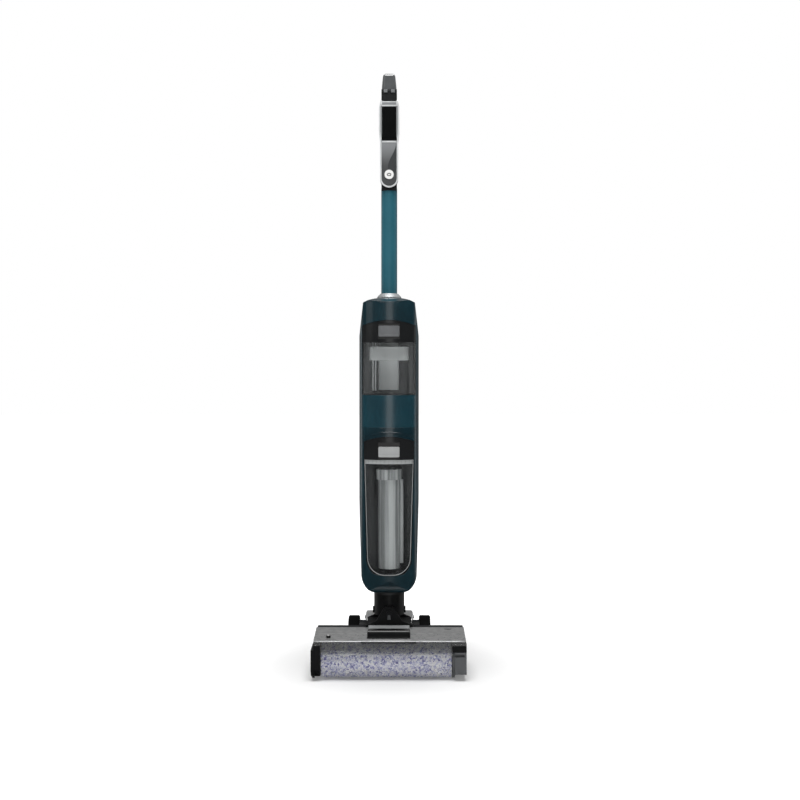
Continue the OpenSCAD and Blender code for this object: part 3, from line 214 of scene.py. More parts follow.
finishes = {
    # ABS moulding under metallic lacquer and clear coat: deep teal that goes nearly black away from the light
    "tealLacqueredAbs": dict(
        colour="#02232c", shade="#021820", rough=0.36, coat=0.9, coatRough=0.16, grainMm=0.6, bump=0.04,
        fleck="#1b4a55", fleckMm=0.35, edge="#1d454f", wear=0.06),
    # gloss ABS panel, moulded in colour: a brighter, greyer teal with a clear shine
    "tealPolishedAbs": dict(
        colour="#06303b", shade="#052732", rough=0.32, coat=1.0, coatRough=0.2, grainMm=0.8, bump=0.04,
        fleck="#2c5f6a", fleckMm=0.35, edge="#2b5660", wear=0.06),
    # aluminium tube, satin lacquered: soft upright streaks of light
    "tealLacqueredAluminium": dict(
        colour="#165868", shade="#125160", rough=0.42, coat=0.2, coatRough=0.3, grainMm=0.5, bump=0.05,
        fleck="#3c7c8a", fleckMm=0.3, metal=0.2, edge="#3f7480"),
    # ABS, spark-eroded mould: even, fine, dull grain that stays black
    "blackSparkErodedAbs": dict(
        colour="#0f1011", shade="#0a0b0c", rough=0.55, grainMm=0.5, bump=0.2, depthMm=0.06,
        edge="#2c2e30", specular=0.25),
    # ABS, polished mould: black with a clear but soft reflection
    "blackPolishedAbs": dict(
        colour="#121314", shade="#0c0d0e", rough=0.3, coat=0.35, coatRough=0.16, grainMm=0.9, bump=0.03,
        edge="#3a3c3e", specular=0.35),
    # soft-touch elastomer over the grip: warm black, dry to the eye
    "softTouchElastomer": dict(
        colour="#131415", shade="#0d0e0f", rough=0.62, grainMm=0.7, bump=0.28, depthMm=0.08,
        specular=0.15, edge="#3d3f41"),
    # polypropylene structure, moulded: dark grey, slightly waxy
    "darkPolypropylene": dict(
        colour="#303234", shade="#292b2c", rough=0.42, grainMm=0.8, bump=0.1, edge="#6c6e70"),
    # polypropylene, mid grey, satin
    "greyPolypropylene": dict(
        colour="#5c5e60", shade="#525456", rough=0.4, grainMm=0.7, bump=0.1, edge="#8c8e8f"),
    # polypropylene, pale grey, satin
    "paleGreyPolypropylene": dict(
        colour="#9a9c9c", shade="#8d8f90", rough=0.38, grainMm=0.7, bump=0.1, edge="#c6c8c8"),
    # polypropylene, natural: the pale column that stands in the clean tank
    "naturalPolypropylene": dict(
        colour="#eceeee", shade="#dcdede", rough=0.4, grainMm=0.7, bump=0.08, edge="#e6e8e8"),
    # ABS, silver lacquer: its own silver with a painted reflection, the base lightened nearly to white with
    # little metal, so it reads as a clean line round the grip
    "silverPaintedReflectionAbs": dict(
        colour="#d0d2d3", shade="#c3c5c6", rough=0.3, metal=0.3, coat=0.4, coatRough=0.08, grainMm=0.4,
        bump=0.04, edge="#eceded"),
    # ABS under silver lacquer, satin: the ring at the foot of the tube
    "satinSilverLacqueredAbs": dict(
        colour="#a0a3a4", shade="#949798", rough=0.42, metal=0.35, grainMm=0.4, bump=0.05,
        edge="#c9cbcb"),
    # dark silver film behind gloss: the fascia, its top painted pale as a painted reflection, and darker down
    # its right side
    "silverFilmUnderGloss": dict(
        colour="#3c3d3e", shade="#343536", rough=0.3, metal=0.3, coat=0.6, coatRough=0.08, grainMm=0.4,
        bump=0.04, edge="#8d8f90", grade=(962, 1016, "#86888a", "Z")),
    # ABS dome, gloss clear coat over grey: one white glint on its crown
    "greyClearCoatedAbs": dict(
        colour="#4a4c4d", shade="#424445", rough=0.3, coat=1.0, coatRough=0.1, grainMm=0.6, bump=0.04,
        edge="#7c7e7f"),
    # polycarbonate window over black print: deep gloss, so it mirrors the room in one soft streak
    "blackPrintedPolycarbonate": dict(
        colour="#0b0b0c", shade="#080809", rough=0.08, coat=1.0, coatRough=0.02, grainMm=2.5, bump=0.02,
        edge="#2c2d2e", wear=0.05),
    # steel, black oxide: pin heads that hardly show
    "blackOxideSteel": dict(
        colour="#17181a", shade="#101113", rough=0.35, metal=0.6, grainMm=0.4, weave="X", bump=0.1,
        edge="#3a3c3e"),
    # ABS latch, silver above and gloss black down its front
    "twoToneLacqueredAbs": dict(
        colour="#08090a", shade="#050506", rough=0.3, coat=0.3, coatRough=0.12, grainMm=0.6, bump=0.04,
        edge="#303234", wear=0.04, specular=0.3, grade=(-69.5, -68.5, "#8d8f90", "Y")),
    # gloss white ABS: bright, milky
    "whitePolishedAbs": dict(
        colour="#d6d6d4", shade="#cccccb", rough=0.2, coat=0.4, grainMm=0.8, bump=0.03, edge="#f0f0f0"),
    # nitrile rubber, moulded: matt and a touch brown at its edges
    "mouldedNitrileRubber": dict(
        colour="#1b1b1b", shade="#141414", rough=0.68, grainMm=0.6, bump=0.25, depthMm=0.08,
        edge="#393735"),
    # thermoplastic tyre, moulded and turned: matt with fine lines
    "mouldedThermoplasticTyre": dict(
        colour="#090909", shade="#060606", rough=0.75, grainMm=0.9, bump=0.35, depthMm=0.12,
        edge="#161616", specular=0.08),
    # steel, turned: fine rings catch the light
    "turnedSteel": dict(
        colour="#b9bbbd", shade="#a9abad", rough=0.24, metal=1.0, grainMm=0.35, weave="X", bump=0.12,
        edge="#e2e4e5"),
    # brass, turned: warm with fine rings
    "turnedBrass": dict(
        colour="#c2a25a", shade="#b0914c", rough=0.26, metal=1.0, grainMm=0.35, weave="X", bump=0.12,
        edge="#ead08a"),
    # brass pads, nickel and gold flash: smooth, warm
    "goldFlashedBrass": dict(
        colour="#d8bd78", shade="#c9ad69", rough=0.18, metal=1.0, grainMm=0.5, bump=0.05,
        edge="#f2dfae"),
    # aluminium, die cast: pale grey with a sandy skin
    "dieCastAluminium": dict(
        colour="#9b9d9f", shade="#8b8d8f", rough=0.42, metal=1.0, grainMm=0.9, bump=0.3, depthMm=0.1,
        edge="#d0d2d3"),
    # PVC shrink wrap over cells: dark blue, tight and slightly shiny
    "pvcShrinkWrap": dict(
        colour="#1c2a46", shade="#17233b", rough=0.32, grainMm=3.0, bump=0.2, depthMm=0.2,
        edge="#3b4a68"),
    # pleated filter paper: off white, folded every few millimetres
    "pleatedFilterPaper": dict(
        colour="#dcd9cf", shade="#cfcbc0", rough=0.85, grainMm=3.2, weave="X", bump=0.8, depthMm=0.8,
        edge="#f2f0ea", sheen=0.2),
    # silicone seal, moulded: pale grey and soft
    "mouldedSilicone": dict(
        colour="#b9bbbb", shade="#abadad", rough=0.35, grainMm=0.8, bump=0.08, edge="#dcdede"),
}

clears = {
    # smoked polycarbonate, moulded: the head's cover, grey and thick on top, clearer at its front
    "smokedPolycarbonate": dict(
        colour="#828282", shade="#767777", through="#f6f7f7", body=0.16, edgeBody=0.6, rough=0.1,
        denseAbove=(71, 74, 0.95), coat=0.7),
    # smoked styrene-acrylonitrile, moulded: the clean water tank
    "smokedStyreneAcrylonitrile": dict(
        colour="#7d7f80", shade="#3a3c3d", through="#f8f9f9", body=0.14, edgeBody=0.6, rough=0.06,
        blend=0.35),
    # clear styrene-acrylonitrile, moulded: the dirty water tank, dark where the wall turns away
    "clearStyreneAcrylonitrile": dict(
        colour="#6c6e6f", shade="#2b2d2e", through="#f8f9f9", body=0.08, edgeBody=0.55, rough=0.05,
        blend=0.35),
    # clear polycarbonate pipe inside the tank: pale, with milky edges
    "clearPolycarbonate": dict(
        colour="#eef0f0", shade="#a6a8a9", through="#f0f2f2", body=0.8, edgeBody=0.9, rough=0.12,
        blend=0.5),
    # translucent polypropylene shroud behind the neck: milky grey
    "milkyPolypropylene": dict(
        colour="#cfd1d1", shade="#c3c5c5", through="#ffffff", body=0.72, edgeBody=0.9, rough=0.3,
        blend=0.5, coat=0.2),
}

madeMaterials = {name: surfaceMaterial(name, recipe) for name, recipe in finishes.items()}
madeMaterials.update({name: clearMaterial(name, recipe) for name, recipe in clears.items()})
print("finishes ready:", len(madeMaterials))

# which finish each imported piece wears
wears = {
    "blackSparkErodedAbs": [
        "head_chassis", "rear_deck", "left_end_housing", "neck_yoke", "exhaust_grille", "suction_duct"],
    "blackPolishedAbs": ["cover_latch_base", "neck_tube", "dirty_lid", "clean_cap"],
    "softTouchElastomer": ["grip_left", "grip_right"],
    "darkPolypropylene": [
        "spray_bar", "roller_core", "drive_hub", "left_wheel_rim", "right_wheel_rim", "inner_frame",
        "water_pump"],
    "greyPolypropylene": ["roller_end_cap", "clean_latch", "power_button", "mode_button"],
    "greyClearCoatedAbs": ["grip_cap"],
    "paleGreyPolypropylene": ["dirty_latch"],
    "naturalPolypropylene": ["pickup_column"],
    "twoToneLacqueredAbs": ["cover_latch_button"],
    "satinSilverLacqueredAbs": ["tube_ring"],
    "silverPaintedReflectionAbs": ["side_trim"],
    "silverFilmUnderGloss": ["front_fascia"],
    "whitePolishedAbs": ["clean_button"],
    "mouldedNitrileRubber": ["scraper_blade", "drive_belt", "neck_hose"],
    "mouldedThermoplasticTyre": ["left_wheel_tyre", "right_wheel_tyre"],
    "turnedSteel": ["wheel_axles", "chassis_screws", "body_screws", "roller_stub_shaft"],
    "blackOxideSteel": ["swivel_pins"],
    "turnedBrass": ["motor_pulley"],
    "goldFlashedBrass": ["charging_contacts"],
    "dieCastAluminium": ["brush_motor", "suction_motor", "fan_impeller"],
    "pvcShrinkWrap": ["battery_pack"],
    "pleatedFilterPaper": ["dirty_filter"],
    "mouldedSilicone": ["dirty_seal"],
    "tealLacqueredAbs": ["front_frame", "rear_shell", "top_cap"],
    "tealPolishedAbs": ["mid_panel"],
    "tealLacqueredAluminium": ["handle_tube"],
    "smokedPolycarbonate": ["cover_window"],
    "smokedStyreneAcrylonitrile": ["clean_tank_shell"],
    "clearStyreneAcrylonitrile": ["dirty_tank_shell"],
    "clearPolycarbonate": ["riser_tube"],
    "milkyPolypropylene": ["neck_shroud"],
}
for finish, wearers in wears.items():
    for wearer in wearers:
        materials = nodes[wearer].data.materials
        if len(materials) == 0:
            materials.append(madeMaterials[finish])
        for index in range(len(materials)):
            materials[index] = madeMaterials[finish]
print("finishes on", sum(len(w) for w in wears.values()), "packed pieces")


def placePiece(name, points, faces, finish, body, smooth=True):
    mesh = bpy.data.meshes.new(name)
    mesh.from_pydata(points, [], faces)
    mesh.validate()
    mesh.update()
    if smooth:
        mesh.polygons.foreach_set("use_smooth", [True] * len(mesh.polygons))
    piece = bpy.data.objects.new(name, mesh)
    scene.collection.objects.link(piece)
    mesh.materials.append(madeMaterials[finish])
    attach(piece, body)
    return piece


def ringFaces(rings, sides, closedEnds=True):
    # quads between neighbouring rings of the same number of points
    faces = []
    for r in range(rings - 1):
        for s in range(sides):
            t = (s + 1) % sides
            faces.append((r * sides + s, r * sides + t, (r + 1) * sides + t, (r + 1) * sides + s))
    if closedEnds:
        faces.append(tuple(range(sides))[::-1])
        faces.append(tuple((rings - 1) * sides + s for s in range(sides)))
    return faces


def sweepTube(path, radius, sides=10, squash=1.0):
    # round bar along a list of points, with flat ends
    points = []
    for i, at in enumerate(path):
        before = path[max(i - 1, 0)]
        after = path[min(i + 1, len(path) - 1)]
        along = (after - before).normalized()
        side = along.cross(Vector((0, 1, 0)))
        side = side.normalized() if side.length > 1e-6 else Vector((1, 0, 0))
        up = side.cross(along).normalized()
        for s in range(sides):
            a = 2 * math.pi * s / sides
            points.append(tuple(at + side * (math.cos(a) * radius) + up * (math.sin(a) * radius * squash)))
    return points, ringFaces(len(path), sides)


# roller pile: short twisted yarn loops in white and lavender on a backing sleeve
pile = dict(around=78, along=92, rootMm=29.0, tipMm=32.7, widthMm=1.15, leanMm=3.4, raggedMm=1.1, seed=7,
            sleeveSides=96, tuftSides=4, endMm=1.5, rootInMm=1.6, bendInMm=0.8, tipInMm=0.6)


def pileMaterial():
    # polyester yarn, tufted and cut: white and lavender ends with a few blue-violet ones, soft and dry
    material, tree, output, place = startMaterial("tuftedPolyester")
    cells = addNode(tree, "ShaderNodeTexVoronoi", {"Scale": perMm(3.6), "Randomness": 1.0}, {"Vector": place})
    pick = addNode(tree, "ShaderNodeSeparateColor", links={0: cells.outputs["Color"]})
    yarn = addNode(tree, "ShaderNodeValToRGB", {}, {"Fac": pick.outputs[1]})
    yarn.color_ramp.interpolation = "CONSTANT"
    rampStops(yarn, [(0.0, "#fdfdff"), (0.36, "#efeffa"), (0.56, "#d4d5ea"), (0.74, "#a9abd4"),
                     (0.9, "#7f81b8")])
    cloud = addNode(tree, "ShaderNodeTexNoise", {"Scale": perMm(9), "Detail": 3.0}, {"Vector": place})
    reach = addNode(tree, "ShaderNodeMapRange", {"From Min": 0.45, "From Max": 0.8, "To Max": 0.6},
                    {"Value": cloud.outputs["Fac"]})
    mixed = addNode(tree, "ShaderNodeMix", {"data_type": "RGBA", mixOver: linearColour("#fbfbff")},
                    {mixAmount: reach.outputs["Result"], mixUnder: yarn.outputs["Color"]})
    fibre = addNode(tree, "ShaderNodeTexNoise", {"Scale": perMm(0.5), "Detail": 3.0}, {"Vector": place})
    lift = addNode(tree, "ShaderNodeBump", {"Strength": 0.5, "Distance": 0.3 * mm},
                   {"Height": fibre.outputs["Fac"]})
    dry = addNode(tree, "ShaderNodeMapRange", {"To Min": 0.75, "To Max": 0.95},
                  {"Value": fibre.outputs["Fac"]})
    shader = addNode(tree, "ShaderNodeBsdfPrincipled", {"Sheen Weight": 0.35, "IOR": 1.45},
                     {"Base Color": mixed.outputs[mixResult], "Roughness": dry.outputs["Result"],
                      "Normal": lift.outputs["Normal"]})
    tree.links.new(shader.outputs[0], output.inputs[0])
    return material


def buildPile():
    low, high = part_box("roller_pile")
    coreLow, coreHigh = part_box("roller_core")
    centreY, centreZ = (low.y + high.y) / 2, (low.z + high.z) / 2
    inner = (coreHigh.z - coreLow.z) / 2
    root, tip = pile["rootMm"] * mm, pile["tipMm"] * mm
    points, faces = [], []

    def onRoller(x, radius, angle):
        return (x, centreY + radius * math.cos(angle), centreZ + radius * math.sin(angle))

    def keptIn(x, marginMm):
        # yarn near an end stays this far inside the sleeve's ends
        return min(max(x, low.x + marginMm * mm), high.x - marginMm * mm)

    sides = pile["sleeveSides"]
    sleeve = ((low.x, inner), (low.x, root), (high.x, root), (high.x, inner))
    for x, radius in sleeve:
        for s in range(sides):
            points.append(onRoller(x, radius, 2 * math.pi * s / sides))
    for r in range(len(sleeve)):
        q = (r + 1) % len(sleeve)
        for s in range(sides):
            t = (s + 1) % sides
            faces.append((r * sides + s, r * sides + t, q * sides + t, q * sides + s))

    maker = random.Random(pile["seed"])
    length = high.x - low.x - 2 * pile["endMm"] * mm
    corners = pile["tuftSides"]
    # share of the tuft's height and of its width at each ring, from below the sleeve's skin up to its neck
    rings = ((-0.1, 0.8), (0.45, 1.0), (0.85, 0.8))
    for i in range(pile["along"]):
        for j in range(pile["around"]):
            # every second tuft stands half a step along, and each strays a little
            step = i + 0.5 * (j % 2) + maker.uniform(-0.3, 0.3) + 0.25
            x = keptIn(low.x + pile["endMm"] * mm + length * step / pile["along"], pile["rootInMm"])
            angle = 2 * math.pi * (j + maker.uniform(-0.35, 0.35)) / pile["around"]
            leanX = maker.uniform(-1, 1) * pile["leanMm"] * mm
            leanA = maker.uniform(-1, 1) * pile["leanMm"] * mm
            height = tip - root - maker.uniform(0, pile["raggedMm"]) * mm
            width = pile["widthMm"] * mm * maker.uniform(0.75, 1.2)
            turn = maker.uniform(0, 6.28)
            first = len(points)
            for share, wide in rings:
                rise = root + height * math.sin(share * 1.75)
                across = share * share
                bentX = keptIn(x + leanX * across, pile["bendInMm"])
                bentA = angle + leanA * across / root
                half = width * wide * 0.75
                for s in range(corners):
                    t = turn + share * 1.3 + s * 2 * math.pi / corners
                    points.append(onRoller(bentX + math.cos(t) * half, rise,
                                           bentA + math.sin(t) * half / root))
            points.append(onRoller(keptIn(x + leanX * 1.1, pile["tipInMm"]), root + height,
                                   angle + leanA * 1.1 / root))
            for r in range(len(rings) - 1):
                for s in range(corners):
                    t = (s + 1) % corners
                    under, over = first + r * corners, first + (r + 1) * corners
                    faces.append((under + s, under + t, over + t, over + s))
            last = first + (len(rings) - 1) * corners
            for s in range(corners):
                faces.append((last + s, last + (s + 1) % corners, last + corners))
            faces.append(tuple(range(first + corners - 1, first - 1, -1)))
    piece = placePiece("rollerPileTufts", points, faces, "tuftedPolyester", "roller")
    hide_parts("roller_pile")
    print("roller pile:", len(faces), "faces")


madeMaterials["tuftedPolyester"] = pileMaterial()
buildPile()

# pale rim line round the dirty tank's clear front
tankRim = dict(radiusMm=0.55, insetMm=1.6, proudMm=0.05, lowCornerMm=33, halfLowMm=42.2, bowMm=89.7,
               bowCentreMm=41, cornerMm=25.7, cornerAtMm=(31, -15), turnsAtMm=43.6,
               sideSteps=30, cornerSteps=24)


def tankSkin(x):
    # depth of the tank's outer face at this sideways place: a wide bow, then a rounder corner
    if abs(x) < tankRim["turnsAtMm"] * mm:
        return tankRim["bowCentreMm"] * mm - math.sqrt((tankRim["bowMm"] * mm) ** 2 - x * x)
    cx, cy = (v * mm for v in tankRim["cornerAtMm"])
    return cy - math.sqrt(max((tankRim["cornerMm"] * mm) ** 2 - (abs(x) - cx) ** 2, 0.0))


def buildTankRim():
    low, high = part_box("dirty_tank_shell")
    inset, proud = tankRim["insetMm"] * mm, tankRim["proudMm"] * mm
    top, bottom = high.z, low.z + inset
    halfTop = high.x - inset
    halfLow = tankRim["halfLowMm"] * mm - inset
    corner = tankRim["lowCornerMm"] * mm - inset
    path = []
    for i in range(tankRim["sideSteps"]):
        share = i / tankRim["sideSteps"]
        path.append((halfTop + (halfLow - halfTop) * share, top - (top - bottom - corner) * share))
    for i in range(tankRim["cornerSteps"] + 1):
        a = math.pi / 2 * i / tankRim["cornerSteps"]
        path.append((halfLow - corner + corner * math.cos(a), bottom + corner - corner * math.sin(a)))
    right = [Vector((x, tankSkin(x) - proud, z)) for x, z in path]
    left = [Vector((-p.x, p.y, p.z)) for p in reversed(right)]
    middle = [Vector((x * (halfLow - corner) / 5, tankSkin(0) - proud, bottom)) for x in (3, 1, -1, -3)]
    points, faces = sweepTube(right + middle + left, tankRim["radiusMm"] * mm, 8)
    placePiece("tankRimLine", points, faces, "paleGreyPolypropylene", "dirty_tank")


buildTankRim()

# round front button's plain mark: a small floor head drawn with a bar and a roof
buttonMark = dict(radiusMm=0.8, spanMm=3.5, proudMm=0.1, roofLowMm=1.2, barLowMm=2.2, flatness=0.4)


def buildButtonMark():
    low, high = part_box("clean_button")
    cx, cz, y = (low.x + high.x) / 2, (low.z + high.z) / 2, low.y - buttonMark["proudMm"] * mm
    span = buttonMark["spanMm"] * mm
    roofZ, barZ = cz - buttonMark["roofLowMm"] * mm, cz - buttonMark["barLowMm"] * mm
    turns = [math.pi * i / 16 for i in range(17)]
    roof = [Vector((cx + span * math.cos(a), y, roofZ + span * math.sin(a) * 0.95)) for a in turns]
    bar = [Vector((cx + span * s, y, barZ)) for s in (-1.0, -0.5, 0.0, 0.5, 1.0)]
    points, faces = [], []
    for path in (roof, bar):
        more, quads = sweepTube(path, buttonMark["radiusMm"] * mm, 8, buttonMark["flatness"])
        faces += [tuple(i + len(points) for i in q) for q in quads]
        points += more
    placePiece("buttonMark", points, faces, "darkPolypropylene", "round_button")


buildButtonMark()

# dark glazed window, painted shade over the bar above it and a darker sweep of painted shade down the fascia
fascia = dict(seatMm=0.25, sinkMm=0.05, windowMm=(66.6, 1.0), windowHalfMm=14.0, windowCornerMm=1.6,
              barMm=(3.4, 8.6), barHalfMm=13.6, barProudMm=0.4,
              sweepTopMm=5, sweepLongMm=58, sweepAtMm=13.4, sweepInMm=15.5, sweepEdgeMm=14.3,
              footInMm=3, footLowMm=2.5, footAtMm=9, footRiseMm=6)


def flatPlate(outline, front, back):
    # closed plate from a flat outline of (x, z) points, drawn between two depths
    count = len(outline)
    points = [(x, front, z) for x, z in outline] + [(x, back, z) for x, z in outline]
    faces = [tuple(range(count)), tuple(range(2 * count - 1, count - 1, -1))]
    for i in range(count):
        j = (i + 1) % count
        faces.append((i, i + count, j + count, j))
    return points, faces


def buildFascia():
    low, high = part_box("front_fascia")
    front = low.y - fascia["seatMm"] * mm
    back = low.y + fascia["sinkMm"] * mm
    # glossy black window over the upper opening, with rounded corners
    windowLow, windowHigh = (high.z - v * mm for v in fascia["windowMm"])
    r = fascia["windowCornerMm"] * mm
    half = fascia["windowHalfMm"] * mm - r
    corners = ((half, windowLow + r, -90), (half, windowHigh - r, 0), (-half, windowHigh - r, 90),
               (-half, windowLow + r, 180))
    outline = []
    for cx, cz, start in corners:
        for k in range(5):
            a = math.radians(start + 22.5 * k)
            outline.append((cx + r * math.cos(a), cz + r * math.sin(a)))
    points, faces = flatPlate(outline, front, back)
    placePiece("gripWindow", points, faces, "blackPrintedPolycarbonate", "machine",
               smooth=False)
    # painted shade: a darker face laid over the silver bar above the window, its lower edge left bright
    barLow, barHigh = (windowHigh + v * mm for v in fascia["barMm"])
    barHalf = fascia["barHalfMm"] * mm
    outline = [(-barHalf, barLow), (barHalf, barLow), (barHalf, barHigh), (-barHalf, barHigh)]
    points, faces = flatPlate(outline, front - fascia["barProudMm"] * mm, back)
    placePiece("crossBarPaintedShade", points, faces, "silverFilmUnderGloss", "machine",
               smooth=False)
    # sweeping darker plate over the lower right of the fascia, painted shade beside its paler top along the
    # curved cut line: it curves in over four fifths of its length
    top = windowLow - fascia["sweepTopMm"] * mm
    edge = fascia["sweepEdgeMm"] * mm
    curve = []
    for k in range(25):
        t = k / 24
        swing = 0.5 - 0.5 * math.cos(math.pi * min(t * 1.25, 1.0))
        curve.append((fascia["sweepAtMm"] * mm - fascia["sweepInMm"] * mm * swing,
                      top - t * fascia["sweepLongMm"] * mm))
    lastX, bottom = curve[-1]
    foot = bottom - fascia["footLowMm"] * mm
    outline = curve + [(lastX + fascia["footInMm"] * mm, foot), (fascia["footAtMm"] * mm, foot),
                       (edge, bottom + fascia["footRiseMm"] * mm), (edge, top)]
    points, faces = flatPlate(outline[::-1], front, back)
    placePiece("fasciaSweepPaintedShade", points, faces, "darkPolypropylene", "machine",
               smooth=False)


buildFascia()

# small marks on the head's cover: a plug whose glint is a painted highlight, a white disc on its top, and an
# oval pad
coverMarks = dict(plugMm=(-112.5, -82.0, 4.2, 4.2), plugHighlightMm=0.7, plugHighlightShare=0.6,
                  padMm=(112.0, -33.0, 7.0, 2.4), padHighMm=0.5)

# the cover's top from the side: a shallow fall from its rear, then a steeper one from a step to its front
coverFall = dict(frontMm=76.0, stepAtMm=-58.0, shallowFromMm=-20.7, shallowMm=(3.4, 37.3),
                 steepFromMm=-60.0, steepMm=(4.4, 35.0))


def coverTop(y):
    # height of the cover's top face at this depth
    rear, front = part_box("cover_window")[1].z, coverFall["frontMm"] * mm
    if y > coverFall["stepAtMm"] * mm:
        drop, run = (v * mm for v in coverFall["shallowMm"])
        return rear - drop * (coverFall["shallowFromMm"] * mm - y) / run
    drop, run = (v * mm for v in coverFall["steepMm"])
    return (rear - drop) + (front - rear + drop) * (coverFall["steepFromMm"] * mm - y) / run


def roundedPad(cx, cy, z0, rx, ry, height, sides=28):
    # low button with a rolled edge, its foot sunk a little into the cover
    points = []
    rings = ((1.0, -0.4 * mm), (1.0, height * 0.5), (0.94, height * 0.85), (0.8, height),
             (0.3, height * 1.05))
    for share, lift in rings:
        for s in range(sides):
            a = 2 * math.pi * s / sides
            points.append((cx + rx * share * math.cos(a), cy + ry * share * math.sin(a), z0 + lift))
    return points, ringFaces(len(rings), sides)


def buildCoverMarks():
    x, y, r, h = (v * mm for v in coverMarks["plugMm"])
    points, faces = roundedPad(x, y, coverTop(y), r, r, h)
    placePiece("coverPlug", points, faces, "blackPolishedAbs", "head_cover")
    # a white disc on the plug's crown: a painted highlight
    highlightR = r * coverMarks["plugHighlightShare"]
    points, faces = roundedPad(x, y, coverTop(y) + h, highlightR, highlightR, coverMarks["plugHighlightMm"] * mm)
    placePiece("coverPlugPaintedHighlight", points, faces, "whitePolishedAbs", "head_cover")
    x, y, rx, ry = (v * mm for v in coverMarks["padMm"])
    points, faces = roundedPad(x, y, coverTop(y), rx, ry, coverMarks["padHighMm"] * mm)
    placePiece("coverPad", points, faces, "blackPolishedAbs", "head_cover")


buildCoverMarks()

# painted highlights along the cover's front edge and under its window, and the dark ledge under the latch,
# each with its depth, height and radius, then how far its ends stand in from the cover's or its half length
coverLines = dict(edgeMm=(-100.6, 74.0, 0.8), edgeInMm=(2, 2), lowMm=(-105.1, 50.4, 0.55), lowInMm=(16, 24),
                  ledgeMm=(-101.8, 72.6, 1.5), ledgeHalfMm=51.0)


def lineAcross(left, right, y, z, steps=24):
    # points from one side of the machine to the other
    return [Vector((left + (right - left) * i / steps, y, z)) for i in range(steps + 1)]


def buildCoverLines():
    low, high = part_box("cover_window")
    # painted highlight: a bright bar along the cover's front edge
    y, z, r = (v * mm for v in coverLines["edgeMm"])
    left, right = (v * mm for v in coverLines["edgeInMm"])
    points, faces = sweepTube(lineAcross(low.x + left, high.x - right, y, z), r, 10)
    placePiece("coverEdgePaintedHighlight", points, faces, "silverPaintedReflectionAbs", "head_cover")
    # painted highlight: a pale line along the lower edge of the window
    y, z, r = (v * mm for v in coverLines["lowMm"])
    left, right = (v * mm for v in coverLines["lowInMm"])
    points, faces = sweepTube(lineAcross(low.x + left, high.x - right, y, z), r, 10)
    placePiece("coverLipPaintedHighlight", points, faces, "paleGreyPolypropylene", "head_cover")
    y, z, r = (v * mm for v in coverLines["ledgeMm"])
    half = coverLines["ledgeHalfMm"] * mm
    points, faces = sweepTube(lineAcross(-half, half, y, z), r, 12)
    placePiece("latchLedge", points, faces, "blackPolishedAbs", "head_cover")


buildCoverLines()

# grey tab at the foot of the neck
neckTab = dict(halfMm=3.4, lowMm=96.5, highMm=106.0, shoulderMm=1.5, depthMm=1.4, sinkMm=0.4, softMm=0.5)


def buildNeckTab():
    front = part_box("neck_yoke")[0].y
    half, z0, z1 = (neckTab[key] * mm for key in ("halfMm", "lowMm", "highMm"))
    shoulder = z1 - neckTab["shoulderMm"] * mm
    outline = [(-half, z0), (half, z0), (half * 0.8, shoulder), (half * 0.5, z1), (-half * 0.5, z1),
               (-half * 0.8, shoulder)]
    points, faces = flatPlate(outline, front - neckTab["depthMm"] * mm, front + neckTab["sinkMm"] * mm)
    piece = placePiece("neckTab", points, faces, "greyPolypropylene", "yoke",
                       smooth=False)
    bevel = piece.modifiers.new("softEdge", "BEVEL")
    bevel.width = neckTab["softMm"] * mm
    bevel.segments = 3


buildNeckTab()

# painted shade: dark crosses standing for the cross recesses in the heads of the rear screws
screwCross = dict(armMm=2.1, halfMm=0.42, proudMm=0.04, deepMm=0.1, acrossMm=34, heightsMm=(230, 420, 600))


def buildScrewCrosses():
    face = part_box("body_screws")[1].y + screwCross["proudMm"] * mm
    arm, half = screwCross["armMm"] * mm, screwCross["halfMm"] * mm
    quarter = [(-half, -arm), (half, -arm), (half, -half)]
    points, faces = [], []
    for x in (-screwCross["acrossMm"] * mm, screwCross["acrossMm"] * mm):
        for z in (v * mm for v in screwCross["heightsMm"]):
            outline = []
            # the same three corners in each quarter turn
            for cosine, sine in ((1, 0), (0, 1), (-1, 0), (0, -1)):
                outline += [(x + a * cosine - b * sine, z + a * sine + b * cosine) for a, b in quarter]
            more, quads = flatPlate(outline, face - screwCross["deepMm"] * mm, face)
            faces += [tuple(i + len(points) for i in q) for q in quads]
            points += more
    placePiece("screwCrossPaintedShade", points, faces, "blackSparkErodedAbs", "machine",
               smooth=False)


buildScrewCrosses()

# fine ribs round each tyre
tread = dict(ribs=5, radiusMm=0.45, sinkMm=0.36, sides=72, ribSides=6, firstShare=0.18, flatness=0.8,
             widening=1.4)


def buildTread(node, body):
    low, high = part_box(node)
    cy, cz, r = (low.y + high.y) / 2, (low.z + high.z) / 2, (high.z - low.z) / 2
    sides, ribSides = tread["sides"], tread["ribSides"]
    rib = tread["radiusMm"] * mm
    first, width = tread["firstShare"], high.x - low.x
    points, faces = [], []
    for k in range(tread["ribs"]):
        x = low.x + width * (first + (1 - 2 * first) * k / (tread["ribs"] - 1))
        start = len(points)
        for s in range(sides):
            a = 2 * math.pi * s / sides
            for t in range(ribSides):
                b = 2 * math.pi * t / ribSides
                reach = r - tread["sinkMm"] * mm + rib * math.cos(b) * tread["flatness"]
                points.append((x + rib * math.sin(b) * tread["widening"], cy + reach * math.cos(a),
                               cz + reach * math.sin(a)))
        for s in range(sides):
            here, there = start + s * ribSides, start + (s + 1) % sides * ribSides
            for t in range(ribSides):
                u = (t + 1) % ribSides
                faces.append((here + t, there + t, there + u, here + u))
    name = node.replace("_tyre", "Tread").replace("_", "")
    placePiece(name, points, faces, "mouldedThermoplasticTyre", body)


buildTread("left_wheel_tyre", "left_wheel")
buildTread("right_wheel_tyre", "right_wheel")
print("fine pieces in place")

